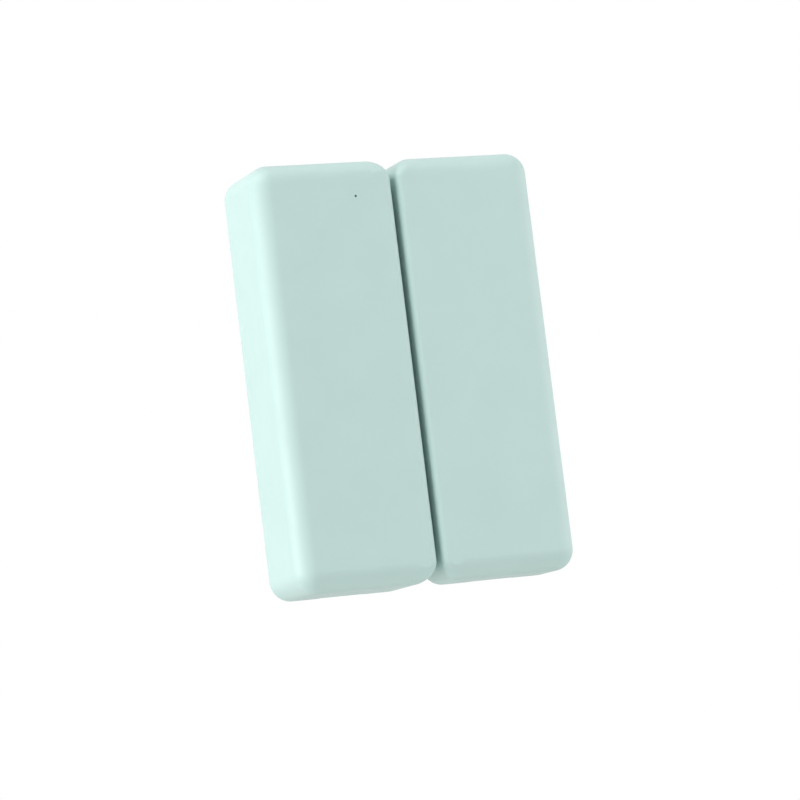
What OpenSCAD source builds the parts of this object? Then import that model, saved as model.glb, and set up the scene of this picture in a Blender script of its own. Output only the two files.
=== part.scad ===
// Two-part wireless door contact sensor: a sensor unit for the frame and a magnet unit for the door leaf.
// Both stand upright with their adhesive pads on the wall plane y = 0 and their fronts towards -Y.
// The origin is the middle of the sensor unit's adhesive face.
// Pieces are drawn lying on their backs (x right, y up, z out of the wall) and are then stood up.

/* [Units] */
// Height of each unit
unit_h = 72; // [70:0.5:80]
// Width of each unit
unit_w = 24.7; // [24.4:0.1:30]
// Depth of the sensor's shell, from its front to its rear rim
unit_d = 15.5; // [15:0.1:19]
// Depth of the magnet unit's shell, which is shallower
magnet_unit_d = 11; // [10.2:0.1:12]
// Gap between the two units with the door shut
unit_gap = 1; // [0.5:0.1:3]
// Radius of the corners, seen from the front
corner_round = 3.6; // [3.6:0.1:5]
// Radius of the front's edges, apart from the one beside the gap
outer_round = 3.5; // [2.5:0.1:3.5]
// Radius of the front's upright edge beside the gap
inner_round = 1.2; // [0.8:0.1:2.4]

/* [Shells] */
// Thickness of the covers' side walls
side_wall = 1.5; // [1:0.1:1.6]
// Thickness of the covers' front walls
front_wall = 1.6; // [1.2:0.1:2]
// Gap between a base and the cover pushed over it
base_fit = 0.25; // [0.2:0.05:0.4]
// Thickness of a base's rear plate
base_t = 1.6; // [1.2:0.1:2]
// Thickness of the lip round a base
lip_t = 1; // [0.8:0.1:1.2]
// Height of the lip above the rear plate
lip_h = 2.6; // [2:0.1:3]
// Thickness of the ribs that grip and seat the covers
rib_t = 1.4; // [1:0.1:2]
// Width of the notch for prying a cover off
notch_w = 8; // [5:0.5:12]
// Depth of that notch
notch_d = 1; // [0.6:0.1:1.4]

/* [Pads] */
// Thickness of the adhesive pads
pad_t = 0.8; // [0.5:0.1:1.2]
// Width of the adhesive pads
pad_w = 17; // [12:0.5:18]
// Height of the adhesive pads
pad_h = 58; // [40:1:62]
// Corner radius of the adhesive pads
pad_round = 2; // [1:0.5:4]

/* [Indicator] */
// Diameter of the indicator pinhole
pin_d = 0.4; // [0.4:0.05:1]
// Distance of the pinhole from the sensor's gap side
pin_from_side = 6.8; // [6.6:0.1:7.6]
// Distance of the pinhole from the sensor's top
pin_from_top = 6.4; // [6:0.1:7]
// Depth by which the light pipe's tip lies below the front
tip_recess = 0.4; // [0.2:0.1:0.8]
// Diameter of the light pipe
pipe_d = 1.8; // [1.4:0.1:2.2]
// Wall of the boss that holds the light pipe
boss_wall = 0.8; // [0.6:0.1:1]
// Height of the boss that holds the light pipe
boss_h = 3.5; // [2.5:0.5:5]

/* [Cell] */
// Diameter of the AAA cell
cell_d = 10.5; // [10:0.1:10.5]
// Length of the AAA cell, with its nub
cell_l = 44.5; // [43.3:0.1:44.5]
// Diameter of the positive nub
nub_d = 3.8; // [3:0.1:4]
// Height of the positive nub
nub_h = 1.1; // [1:0.1:1.5]
// Diameter of the negative end plate
cap_d = 6.6; // [5:0.1:7.4]
// Thickness of the sleeve's film
film_t = 0.2; // [0.15:0.05:0.3]
// Length of the compressed negative spring
spring_l = 4.5; // [4:0.1:5]
// Wire diameter of the spring
wire_d = 0.5; // [0.4:0.05:0.6]
// Turns of the spring
spring_turns = 3.5; // [3:0.5:4]
// Mean diameter of the spring's wide end
spring_wide = 7; // [6:0.1:7.6]
// Mean diameter of the spring's narrow end
spring_narrow = 3.6; // [3:0.1:4.5]
// Thickness of the contact plates
contact_t = 0.3; // [0.2:0.05:0.4]
// Width of the contact plates
contact_w = 8; // [7:0.1:8.4]
// Thickness of the walls at the ends of the cell's bay
bay_wall = 1.2; // [1:0.1:1.4]
// Height of those walls above the rear plate
bay_h = 10.2; // [9:0.1:10.6]
// Thickness of the wall between the cell and the board
bay_side = 0.8; // [0.6:0.1:1]
// Clearance round the cell
cell_gap = 0.35; // [0.2:0.05:0.4]
// Gap between the cell and the cover's side wall
cell_wall_gap = 0.75; // [0.7:0.05:0.9]

/* [Board] */
// Thickness of the circuit board
board_t = 1; // [0.8:0.1:1.2]
// Height of the board above the rear plate
board_stand = 2.4; // [2:0.1:2.6]
// Gap round the board
board_gap = 0.4; // [0.3:0.05:0.5]
// Cut across the board's corners
board_chamfer = 0.8; // [0.4:0.1:1.2]
// Shank diameter of the board screws
screw_d = 1.7; // [1.4:0.1:1.8]
// Head diameter of the board screws
screw_head_d = 3.2; // [2.8:0.1:3.4]
// Head height of the board screws
screw_head_h = 1.1; // [0.8:0.1:1.3]
// Wall round a screw's pilot hole
post_wall = 1; // [0.8:0.1:1.1]

/* [Reed switch] */
// Length of the reed switch's glass
reed_l = 12; // [10:0.5:14]
// Outer diameter of the glass
reed_d = 2; // [1.8:0.1:2.4]
// Wall of the glass
glass_wall = 0.25; // [0.2:0.05:0.3]
// Diameter of the reed switch's leads
lead_d = 0.5; // [0.4:0.05:0.6]
// Width of a reed blade
blade_w = 0.9; // [0.7:0.1:1]
// Thickness of a reed blade
blade_t = 0.15; // [0.1:0.05:0.2]
// Length over which the blades overlap
blade_lap = 1.2; // [0.8:0.1:1.6]
// Distance between the reed switch's bent leads
lead_span = 21; // [18:0.5:22]
// Gap between the reed switch and the board
reed_lift = 0.2; // [0.1:0.05:0.4]

/* [Pairing switch] */
// Side of the square switch housing
switch_w = 4.5; // [4:0.1:4.8]
// Height of the switch housing
switch_h = 1.9; // [1.6:0.1:2.2]
// Thickness of the plate on the housing
plate_t = 0.2; // [0.15:0.05:0.3]
// Diameter of the button
button_d = 2.4; // [2:0.1:2.8]
// Height of the button above the switch's plate
button_rise = 1.3; // [0.8:0.1:1.5]
// Travel of the button
button_travel = 0.25; // [0.15:0.05:0.4]
// Radial clearance of the button in its housing
button_fit = 0.06; // [0.04:0.01:0.1]

/* [Magnet] */
// Length of the bar magnet
magnet_l = 30; // [20:1:40]
// Width of the bar magnet
magnet_w = 5; // [4:0.1:6]
// Thickness of the bar magnet
magnet_t = 5; // [4:0.1:5.4]
// Clearance of the bar magnet in its pocket
magnet_fit = 0.15; // [0.1:0.05:0.3]
// Wall of the magnet's pocket
pocket_wall = 1; // [0.8:0.1:1.4]
// Height of the pocket's wall beside the magnet
pocket_h = 2.6; // [1.5:0.1:3.5]
// Thickness of the pocket's floor
pocket_floor = 0.8; // [0.6:0.1:1]

/* [Spacer] */
// Distance of the spacer's edge inside the shell's side
spacer_inset = 2.6; // [2.2:0.1:3]
// Wall of the spacer
spacer_wall = 1.4; // [1.2:0.1:1.8]
// Diameter of the pegs that hold the magnet unit's base on the spacer
peg_d = 3; // [2.4:0.1:3.4]
// Distance of the pegs from the ends of the unit
peg_inset = 14; // [10:0.5:20]

/* [Hidden] */
$fn = 64;

mint = [0.72, 0.84, 0.82];
inner_plastic = [0.86, 0.88, 0.86];
board_green = [0.10, 0.36, 0.24];
steel = [0.74, 0.75, 0.76];
tin = [0.80, 0.80, 0.78];
black_resin = [0.10, 0.10, 0.11];

// Small overlap that joins solids of one piece, and the reach of cuts past a face
weld = 0.3;
cut = 1;
// Smallest radius left on a cavity's edge
least_round = 0.3;
corner_steps = 8;

// Depth levels, measured out of the wall
front_z = pad_t + unit_d;
cavity_z = front_z - front_wall;
magnet_cavity_z = pad_t + magnet_unit_d - front_wall;
base_top = pad_t + base_t;
lip_top = base_top + lip_h;
board_z = base_top + board_stand;
board_top = board_z + board_t;

// Half sizes of the shell, its cavity, the base and the space inside the base's lip
half_w = unit_w / 2;
half_h = unit_h / 2;
base_inset = side_wall + base_fit;
lip_in_w = half_w - base_inset - lip_t;
lip_in_h = half_h - base_inset - lip_t;
magnet_unit_x = unit_w + unit_gap;
// Thickness of the spacer that brings the magnet unit's front out to the sensor's
spacer_t = unit_d - magnet_unit_d;

// Places of the cell and its bay
cell_x = -half_w + side_wall + cell_wall_gap + cell_d / 2;
cell_z = base_top + cell_gap + cell_d / 2;
negative_plate_y = -lip_in_h + bay_wall;
cell_bottom = negative_plate_y + contact_t + spring_l;
cell_top = cell_bottom + cell_l;
positive_wall_y = cell_top + contact_t;
bay_top = positive_wall_y + bay_wall;
bay_side_x = cell_x + cell_d / 2 + cell_gap;
saddle_fit = 0.1;
saddle_dip = 1.5;
contact_lift = 0.4;
contact_h = bay_h - 2 * contact_lift;
contact_x = cell_x - contact_w / 2;
foot_l = 1.4;
foot_w = 1.6;
guide_l = 0.8;
guide_t = 0.4;
cell_edge = 0.4;
seal_h = 0.5;
seal_gap = 0.05;

// The board: a wide block above the cell and a strip beside it
strip_x0 = bay_side_x + bay_side + board_gap;
board_x1 = lip_in_w - board_gap;
board_y0 = -lip_in_h + board_gap;
board_y1 = lip_in_h - board_gap;
block_y0 = bay_top + board_gap;
strip_mid = (strip_x0 + board_x1) / 2;
foot_x = strip_x0 + board_gap;
post_d = screw_d + 2 * post_wall;
pilot_fit = 0.05;
pilot_floor = 0.3;
screw_inset = 2.8;
screw_end = base_top + pilot_floor;
screw_spots = [[screw_inset - board_x1, block_y0 + screw_inset], [strip_mid, board_y0 + screw_inset]];
prop_inset = 2.2;
prop_spots = [[board_x1 - prop_inset, board_y1 - prop_inset], [strip_mid, (board_y0 + block_y0) / 2]];
pin_x = half_w - pin_from_side;
pin_y = half_h - pin_from_top;
pipe_gap = 0.4;
pipe_fit = 0.05;

// Soldered parts: width, length and height
led_size = [1.6, 0.8, 0.6];
chip_size = [4, 4, 0.9];
crystal_size = [2.5, 3.2, 0.7];
antenna_size = [5.2, 2, 0.8];
coil_size = [3, 3, 1.6];
regulator_size = [1.6, 2.9, 1];
tantalum_size = [2.8, 3.5, 1.9];
capacitor_size = [0.8, 1.6, 0.8];
resistor_size = [0.8, 1.6, 0.45];
leg_size = [0.7, 0.8, 0.2];
regulator_leg = [0.6, 0.45, 0.2];
regulator_pitch = 0.95;
part_gap = 0.8;
edge_gap = 0.6;

// Round the indicator: the antenna in the corner, then the crystal and the pairing switch
antenna_spot = [board_x1 - edge_gap - antenna_size[0] / 2, board_y1 - edge_gap - antenna_size[1] / 2];
crystal_spot = [pin_x - (led_size[0] + crystal_size[0]) / 2 - part_gap, pin_y - 1.5 * part_gap];
switch_x = crystal_spot[0] - (crystal_size[0] + switch_w + part_gap) / 2;
switch_y = board_y1 - board_gap / 2 - leg_size[1] - switch_w / 2;
button_floor = 0.5;
button_spare = 0.1;

// Down the strip: the radio chip, the reed switch and the parts of the power supply
chip_spot = [strip_mid, positive_wall_y - foot_l - board_gap - chip_size[1] / 2];
reed_gap = 1.25;
reed_inset = 0.9;
reed_x = board_x1 - reed_inset - reed_d / 2;
reed_y = chip_spot[1] - chip_size[1] / 2 - reed_gap - lead_span / 2;
reed_z = board_top + reed_lift + reed_d / 2;
seal_l = 1.2;
lead_tail = 0.6;
lead_grip = 0.8;
lead_end = reed_l / 2 - lead_grip;
blade_gap = 0.05;
lead_fit = 0.03;
lead_hole_fit = 0.1;
regulator_spot = [strip_mid, reed_y - (lead_span + regulator_size[1]) / 2 - reed_gap];
coil_spot = [strip_mid, regulator_spot[1] - (regulator_size[1] + coil_size[1]) / 2 - part_gap];
tantalum_spot = [strip_mid, coil_spot[1] - (coil_size[1] + tantalum_size[1]) / 2 - part_gap];
supply_y = tantalum_spot[1] - (tantalum_size[1] + capacitor_size[1]) / 2 - part_gap;
column_x = strip_x0 + part_gap;
column_pitch = capacitor_size[1] + 1.25 * part_gap;
capacitor_spots = [
  [part_gap - board_x1, board_y1 - edge_gap - capacitor_size[1]],
  for (i = [-2, 0, 2]) [column_x, reed_y + i * column_pitch],
  for (i = [-1, 1]) [strip_mid + i * part_gap, supply_y]
];
resistor_spots = [
  [board_x1 - edge_gap - resistor_size[0] / 2, pin_y - resistor_size[1]],
  for (i = [-3, -1, 1, 3]) [column_x, reed_y + i * column_pitch]
];

// Magnet, beside the gap and at the reed switch's height
magnet_x = lip_in_w - pocket_wall - magnet_fit - magnet_w / 2;
magnet_z = base_top + pocket_floor;
hold_down = 0.1;
peg_y = half_h - peg_inset;
peg_fit = 0.05;
peg_short = 0.2;

// Ribs that seat a cover on its base's lip, and bars on the lip that grip it: side, and height on the unit
rib_reach = 1.2;
seat_inset = 12;
seat_y = half_h - seat_inset;
seat_spots = [[-1, seat_y], [-1, cell_bottom - spring_l / 2 - rib_t / 2], [1, seat_y], [1, -seat_y]];
grip_rise = 0.15;
grip_l = 6;
grip_h = 1.6;
grip_inset = 22;
grip_y = half_h - grip_inset;

// Points of a rounded corner, from the given angle through a quarter turn
function corner_arc(middle, r, from) = [
  for (i = [0:corner_steps])
    let (a = from + 90 * i / corner_steps)
    middle + r * [cos(a), sin(a)]
];

// Points round a unit, inset from the shell's surface, with the gap side at +x: each has its place,
// the direction that it faces and the radius of the front's edge, which changes at the gap's corners
function unit_rim(inset) =
  let (
    r = max(corner_round - inset, least_round),
    outer = max(outer_round - inset, least_round),
    inner = max(inner_round - inset, least_round),
    middle = [half_w - inset - r, half_h - inset - r]
  )
  [
    for (k = [0:3], i = [0:corner_steps])
      let (
        t = i / corner_steps,
        facing = [cos(90 * (k + t)), sin(90 * (k + t))],
        side = k == 0 || k == 3 ? 1 : -1,
        up = k < 2 ? 1 : -1,
        turn = k == 0 ? t : k == 3 ? 1 - t : 1
      )
      [
        [side * middle[0], up * middle[1]] + r * facing,
        facing,
        inner + (outer - inner) * turn * turn * (3 - 2 * turn)
      ]
  ];

function unit_outline(inset) = [for (p = unit_rim(inset)) p[0]];

// Rectangle with rounded corners, about the origin
function rounded_rectangle(w, h, r) = concat(
  corner_arc([w / 2 - r, h / 2 - r], r, 0),
  corner_arc([r - w / 2, h / 2 - r], r, 90),
  corner_arc([r - w / 2, r - h / 2], r, 180),
  corner_arc([w / 2 - r, r - h / 2], r, 270)
);

// Stands a piece up: its back goes to the wall plane
module stand() { rotate([90, 0, 0]) children(); }

// Turns a piece of the sensor's handing round for the magnet unit and lifts it onto the spacer
module magnet_side(lift = spacer_t) {
  translate([magnet_unit_x, 0, lift]) mirror([1, 0, 0]) children();
}

// Rounded block with its gap side at +x: rings of points from its rear to its flat front
module shell_form(inset, rear, front) {
  rim = unit_rim(inset);
  n = len(rim);
  points = concat(
    [for (p = rim) [p[0][0], p[0][1], rear]],
    [
      for (i = [0:corner_steps], p = rim)
        let (a = 90 * i / corner_steps, spot = p[0] - p[2] * (1 - cos(a)) * p[1])
        [spot[0], spot[1], front - p[2] * (1 - sin(a))]
    ]
  );
  sides = [
    for (ring = [0:corner_steps], i = [0:n - 1])
      let (p = ring * n + i, q = ring * n + (i + 1) % n)
      each [[p, p + n, q + n], [p, q + n, q]]
  ];
  last = len(points) - 1;
  polyhedron(points, concat([[for (i = [0:n - 1]) i]], sides, [[for (i = [0:n - 1]) last - i]]));
}

// Hollow cover, open at the rear, with seating ribs and a pry notch in its lower rim
module cover_shell(depth) {
  front = pad_t + depth;
  cavity = front - front_wall;
  difference() {
    union() {
      difference() {
        shell_form(0, pad_t, front);
        shell_form(side_wall, pad_t - cut, cavity);
      }
      for (spot = seat_spots)
        translate([spot[0] * (half_w - side_wall - (rib_reach - weld) / 2), spot[1], lip_top])
          translate([-(rib_reach + weld) / 2, -rib_t / 2, 0])
          cube([rib_reach + weld, rib_t, cavity + weld - lip_top]);
    }
    translate([-notch_w / 2, -half_h - cut, pad_t - cut]) cube([notch_w, side_wall + 2 * cut, notch_d + cut]);
  }
}

// Rear plate and lip of a base, with the bars that grip its cover
module base_tray() {
  translate([0, 0, pad_t]) linear_extrude(base_t) polygon(unit_outline(base_inset));
  translate([0, 0, base_top - weld]) linear_extrude(lip_h + weld) difference() {
    polygon(unit_outline(base_inset));
    polygon(unit_outline(base_inset + lip_t));
  }
  for (side = [-1, 1], y = [-grip_y, grip_y])
    translate([side * (half_w - base_inset + (grip_rise - weld) / 2), y, base_top + lip_h / 2])
      cube([grip_rise + weld, grip_l, grip_h], center = true);
}

module adhesive_pad() {
  linear_extrude(pad_t) polygon(rounded_rectangle(pad_w, pad_h, pad_round));
}

// A block soldered on the board, given its middle and its size
module on_board(spot, size) {
  translate([spot[0] - size[0] / 2, spot[1] - size[1] / 2, board_top]) cube(size);
}

// Contact plate with a strap over the board and a soldered foot; side is the way the foot points
module contact_plate(y, side) {
  translate([contact_x, y, base_top + contact_lift]) cube([contact_w, contact_t, contact_h]);
  translate([contact_x + contact_w - weld, y, board_top])
    cube([foot_x + foot_w - contact_x - contact_w + weld, contact_t, foot_w]);
  translate([foot_x, side > 0 ? y : y + contact_t - foot_l, board_top]) cube([foot_w, foot_l, contact_t]);
}

// Places a piece of the reed switch, drawn about the middle of the glass
module at_reed() { translate([reed_x, reed_y, reed_z]) children(); }

// Lead of the reed switch: along the axis from the seal, then down through the board
module reed_wire(side) {
  drop = reed_z - board_z + lead_tail;
  translate([0, side * lead_end, 0]) rotate([-90 * side, 0, 0])
    cylinder(h = lead_span / 2 - lead_end, d = lead_d);
  translate([0, side * lead_span / 2, 0]) sphere(d = lead_d);
  translate([0, side * lead_span / 2, -drop]) cylinder(h = drop, d = lead_d);
}

module sensor_cover() {
  color(mint) difference() {
    union() {
      cover_shell(unit_d);
      translate([pin_x, pin_y, cavity_z - boss_h])
        cylinder(h = boss_h + weld, d = pipe_d + 2 * (pipe_fit + boss_wall));
    }
    translate([pin_x, pin_y, cavity_z - boss_h - cut]) cylinder(h = boss_h + cut, d = pipe_d + 2 * pipe_fit);
    translate([pin_x, pin_y, cavity_z - cut]) cylinder(h = front_wall + 2 * cut, d = pin_d);
  }
}

module light_pipe() {
  foot = board_top + led_size[2] + pipe_gap;
  shoulder = cavity_z - pipe_fit;
  tip_r = pin_d / 2 - pipe_fit;
  color([0.9, 0.95, 0.95, 0.6]) translate([pin_x, pin_y, 0]) rotate_extrude()
    polygon([
      [0, foot], [pipe_d / 2, foot], [pipe_d / 2, shoulder], [tip_r, shoulder],
      [tip_r, front_z - tip_recess], [0, front_z - tip_recess]
    ]);
}

module sensor_base() {
  saddle_top = cell_z - saddle_dip;
  bay_left = -lip_in_w - weld;
  bay_w = bay_side_x + bay_side - bay_left;
  color(inner_plastic) difference() {
    union() {
      base_tray();
      // End walls of the cell's bay
      for (y = [negative_plate_y - bay_wall, positive_wall_y])
        translate([bay_left, y, base_top - weld]) cube([bay_w, bay_wall, bay_h + weld]);
      // Guides at the sides of each contact plate
      for (y = [negative_plate_y, positive_wall_y - guide_l])
        for (x = [contact_x - guide_t, contact_x + contact_w])
          translate([x, y, base_top - weld]) cube([guide_t, guide_l, board_stand + weld]);
      // Wall between the cell and the board
      translate([bay_side_x, cell_bottom - spring_l / 2, base_top - weld])
        cube([bay_side, cell_l + spring_l / 2 - nub_h - guide_l, cell_z - base_top + weld]);
      // Saddles under the cell
      for (y = [cell_bottom + cell_l / 6, cell_top - cell_l / 6])
        translate([bay_left, y - rib_t / 2, base_top - weld])
          cube([bay_w, rib_t, saddle_top - base_top + weld]);
      for (spot = concat(screw_spots, prop_spots))
        translate([spot[0], spot[1], base_top - weld]) cylinder(h = board_stand + weld, d = post_d);
    }
    translate([cell_x, cell_bottom - cut, cell_z]) rotate([-90, 0, 0])
      cylinder(h = cell_l - nub_h + cut, d = cell_d + 2 * saddle_fit);
    for (spot = screw_spots)
      translate([spot[0], spot[1], screw_end - pilot_fit])
        cylinder(h = board_top, d = screw_d + 2 * pilot_fit);
  }
}

module sensor_adhesive_pad() { color("whitesmoke") adhesive_pad(); }

module circuit_board() {
  c = board_chamfer;
  color(board_green) difference() {
    translate([0, 0, board_z]) linear_extrude(board_t) polygon([
      [strip_x0, board_y0], [board_x1 - c, board_y0], [board_x1, board_y0 + c], [board_x1, board_y1 - c],
      [board_x1 - c, board_y1], [c - board_x1, board_y1], [-board_x1, board_y1 - c], [-board_x1, block_y0],
      [strip_x0, block_y0]
    ]);
    for (spot = screw_spots)
      translate([spot[0], spot[1], board_z - cut])
        cylinder(h = board_t + 2 * cut, d = screw_d + 4 * pilot_fit);
    for (side = [-1, 1])
      translate([reed_x, reed_y + side * lead_span / 2, board_z - cut])
        cylinder(h = board_t + 2 * cut, d = lead_d + 2 * lead_hole_fit);
  }
}

module board_screws() {
  slot_w = 0.5;
  slot_d = 0.6;
  color(steel) for (spot = screw_spots) translate([spot[0], spot[1], 0]) difference() {
    union() {
      translate([0, 0, screw_end]) cylinder(h = board_top - screw_end + weld, d = screw_d);
      translate([0, 0, board_top]) cylinder(h = screw_head_h, d = screw_head_d);
    }
    for (turn = [0, 90])
      rotate(turn) translate([-screw_d / 2, -slot_w / 2, board_top + screw_head_h - slot_d])
        cube([screw_d, slot_w, cut]);
  }
}

// Turned piece of the cell, with heights measured from the cell's negative end
module cell_turning(points) {
  translate([cell_x, cell_bottom, cell_z]) rotate([-90, 0, 0]) rotate_extrude() polygon(points);
}

module battery_can() {
  r = cell_d / 2 - film_t - seal_gap;
  shoulder = cell_l - nub_h;
  color(steel) cell_turning([
    [0, seal_h + seal_gap], [r, seal_h + seal_gap], [r, shoulder - cell_edge], [r - cell_edge, shoulder],
    [nub_d / 2, shoulder], [nub_d / 2, cell_l], [0, cell_l]
  ]);
}

module battery_sleeve() {
  r = cell_d / 2;
  top = cell_l - nub_h - cell_edge;
  color([0.20, 0.55, 0.42]) cell_turning([[r - film_t, 0], [r, 0], [r, top], [r - film_t, top]]);
}

module battery_seal() {
  inner = cap_d / 2 + seal_gap;
  outer = cell_d / 2 - film_t - seal_gap;
  color("dimgray") cell_turning([[inner, seal_gap], [outer, seal_gap], [outer, seal_h], [inner, seal_h]]);
}

module battery_negative_cap() {
  color(steel) cell_turning([[0, 0], [cap_d / 2, 0], [cap_d / 2, seal_h], [0, seal_h]]);
}

module positive_contact() { color(tin) contact_plate(cell_top, -1); }

module negative_contact() { color(tin) contact_plate(negative_plate_y, 1); }

// Middle of the spring's wire at a share of its length, from the plate to the cell
function spring_point(t) =
  let (r = (spring_wide + (spring_narrow - spring_wide) * t) / 2, a = 360 * spring_turns * t)
  [r * cos(a), r * sin(a), wire_d / 2 + (spring_l - wire_d) * t];

module negative_spring() {
  sides = 6;
  rings_per_turn = 12;
  rings = rings_per_turn * spring_turns;
  middles = [for (i = [0:rings]) spring_point(i / rings)];
  points = [
    for (i = [0:rings], k = [0:sides - 1])
      let (a = 360 * i / rings_per_turn, b = 360 * k / sides)
      middles[i] + wire_d / 2 * [cos(b) * cos(a), cos(b) * sin(a), sin(b)]
  ];
  skin = [
    for (i = [0:rings - 1], k = [0:sides - 1])
      let (p = i * sides + k, q = i * sides + (k + 1) % sides)
      each [[p, p + sides, q], [q, p + sides, q + sides]]
  ];
  last = rings * sides;
  caps = [for (k = [1:sides - 2]) each [[0, k, k + 1], [last, last + k + 1, last + k]]];
  gaps = [for (i = [0:rings], j = [0:rings]) if (j - i > rings_per_turn / 2) norm(middles[i] - middles[j])];
  echo(least_gap_between_spring_turns = min(gaps) - wire_d);
  color(steel) translate([cell_x, negative_plate_y + contact_t, cell_z]) rotate([-90, 0, 0])
    polyhedron(points, concat(skin, caps));
}

module reed_glass() {
  r = reed_d / 2;
  bore = r - glass_wall;
  hole = lead_d / 2 + lead_fit;
  half = reed_l / 2;
  color([0.75, 0.88, 0.80, 0.5]) at_reed() rotate([-90, 0, 0]) rotate_extrude() polygon([
    [hole, -half], [bore, -half], [r, glass_wall - half], [r, half - glass_wall], [bore, half], [hole, half],
    [hole, half - seal_l], [bore, half - 2 * seal_l], [bore, 2 * seal_l - half], [hole, seal_l - half]
  ]);
}

module reed_fixed_blade() {
  color(steel) at_reed() {
    reed_wire(1);
    translate([-blade_w / 2, -blade_lap / 2, 0])
      cube([blade_w, lead_end - seal_l + blade_lap / 2, blade_t]);
    translate([lead_fit - lead_d / 2, 0, 0]) cube([lead_d - 2 * lead_fit, lead_end + weld, blade_t]);
  }
}

module reed_moving_blade() {
  root = -lead_end + blade_gap;
  color(steel) at_reed() translate([0, 0, -blade_t]) {
    translate([-blade_w / 2, seal_l - lead_end, 0])
      cube([blade_w, lead_end - seal_l + blade_lap / 2, blade_t]);
    translate([lead_fit - lead_d / 2, root, 0]) cube([lead_d - 2 * lead_fit, -root, blade_t]);
  }
}

module reed_lead() { color(steel) at_reed() reed_wire(-1); }

module radio_chip() { color(black_resin) on_board(chip_spot, chip_size); }

module crystal() { color(tin) on_board(crystal_spot, crystal_size); }

module chip_antenna() { color("ghostwhite") on_board(antenna_spot, antenna_size); }

module status_led() { color("lightyellow") on_board([pin_x, pin_y], led_size); }

module switch_housing() {
  color(black_resin) difference() {
    on_board([switch_x, switch_y], [switch_w, switch_w, switch_h]);
    translate([switch_x, switch_y, board_top + button_floor])
      cylinder(h = switch_h, d = button_d + 2 * button_fit);
  }
}

module switch_plate() {
  color(tin) difference() {
    translate([0, 0, switch_h]) on_board([switch_x, switch_y], [switch_w, switch_w, plate_t]);
    translate([switch_x, switch_y, board_top]) cylinder(h = switch_h + cut, d = button_d + 4 * button_fit);
  }
}

module switch_legs() {
  shin_size = [leg_size[0], leg_size[2], switch_h / 2];
  color(tin) for (up = [-1, 1], x = [-switch_w / 3, switch_w / 3]) {
    on_board([switch_x + x, switch_y + up * (switch_w + leg_size[1]) / 2], leg_size);
    on_board([switch_x + x, switch_y + up * (switch_w + shin_size[1]) / 2], shin_size);
  }
}

module pairing_button() {
  bottom = button_floor + button_travel + button_spare;
  color([0.92, 0.93, 0.92]) translate([switch_x, switch_y, board_top + bottom])
    cylinder(h = switch_h + plate_t + button_rise - bottom, d = button_d);
}

module boost_coil() { color([0.32, 0.32, 0.34]) on_board(coil_spot, coil_size); }

module boost_regulator() {
  leg_x = (regulator_size[0] + regulator_leg[0] - weld) / 2;
  color(black_resin) {
    on_board(regulator_spot, regulator_size);
    for (side = [-1, 1], i = [-1:1])
      on_board(regulator_spot + [side * leg_x, i * regulator_pitch], regulator_leg + [weld, 0, 0]);
  }
}

module storage_capacitor() { color([0.86, 0.62, 0.20]) on_board(tantalum_spot, tantalum_size); }

module chip_capacitors() {
  color([0.66, 0.54, 0.42]) for (spot = capacitor_spots) on_board(spot, capacitor_size);
}

module chip_resistors() {
  color(black_resin) for (spot = resistor_spots) on_board(spot, resistor_size);
}

module magnet_cover() {
  top = magnet_z + magnet_t + hold_down;
  color(mint) magnet_side() {
    cover_shell(magnet_unit_d);
    // Ribs that keep the magnet in its pocket
    for (up = [-1, 1])
      translate([magnet_x - magnet_w / 2, reed_y + up * magnet_l / 3 - rib_t / 2, top])
        cube([magnet_w, rib_t, magnet_cavity_z + weld - top]);
  }
}

module magnet_base() {
  pocket_w = magnet_w + 2 * magnet_fit;
  pocket_l = magnet_l + 2 * magnet_fit;
  color(inner_plastic) magnet_side() difference() {
    union() {
      base_tray();
      translate([magnet_x, reed_y, base_top - weld]) difference() {
        translate([-pocket_w / 2 - pocket_wall, -pocket_l / 2 - pocket_wall, 0])
          cube([pocket_w + 2 * pocket_wall, pocket_l + 2 * pocket_wall, pocket_floor + pocket_h + weld]);
        translate([-pocket_w / 2, -pocket_l / 2, pocket_floor + weld])
          cube([pocket_w, pocket_l, pocket_h + cut]);
      }
    }
    for (up = [-1, 1])
      translate([0, up * peg_y, pad_t - cut]) cylinder(h = base_t + 2 * cut, d = peg_d + 2 * peg_fit);
  }
}

// Shallow tray behind the magnet unit's base, with two pegs that the base is pushed onto
module magnet_spacer() {
  floor_top = pad_t + spacer_wall;
  peg_top = pad_t + spacer_t + base_t - peg_short;
  color(inner_plastic) magnet_side(0) {
    difference() {
      translate([0, 0, pad_t]) linear_extrude(spacer_t) polygon(unit_outline(spacer_inset));
      translate([0, 0, floor_top]) linear_extrude(spacer_t) polygon(unit_outline(spacer_inset + spacer_wall));
    }
    for (up = [-1, 1])
      translate([0, up * peg_y, floor_top - weld]) cylinder(h = peg_top - floor_top + weld, d = peg_d);
  }
}

module bar_magnet() {
  color([0.30, 0.30, 0.32]) magnet_side()
    translate([magnet_x - magnet_w / 2, reed_y - magnet_l / 2, magnet_z])
    cube([magnet_w, magnet_l, magnet_t]);
}

module magnet_adhesive_pad() { color("whitesmoke") magnet_side(0) adhesive_pad(); }

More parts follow.
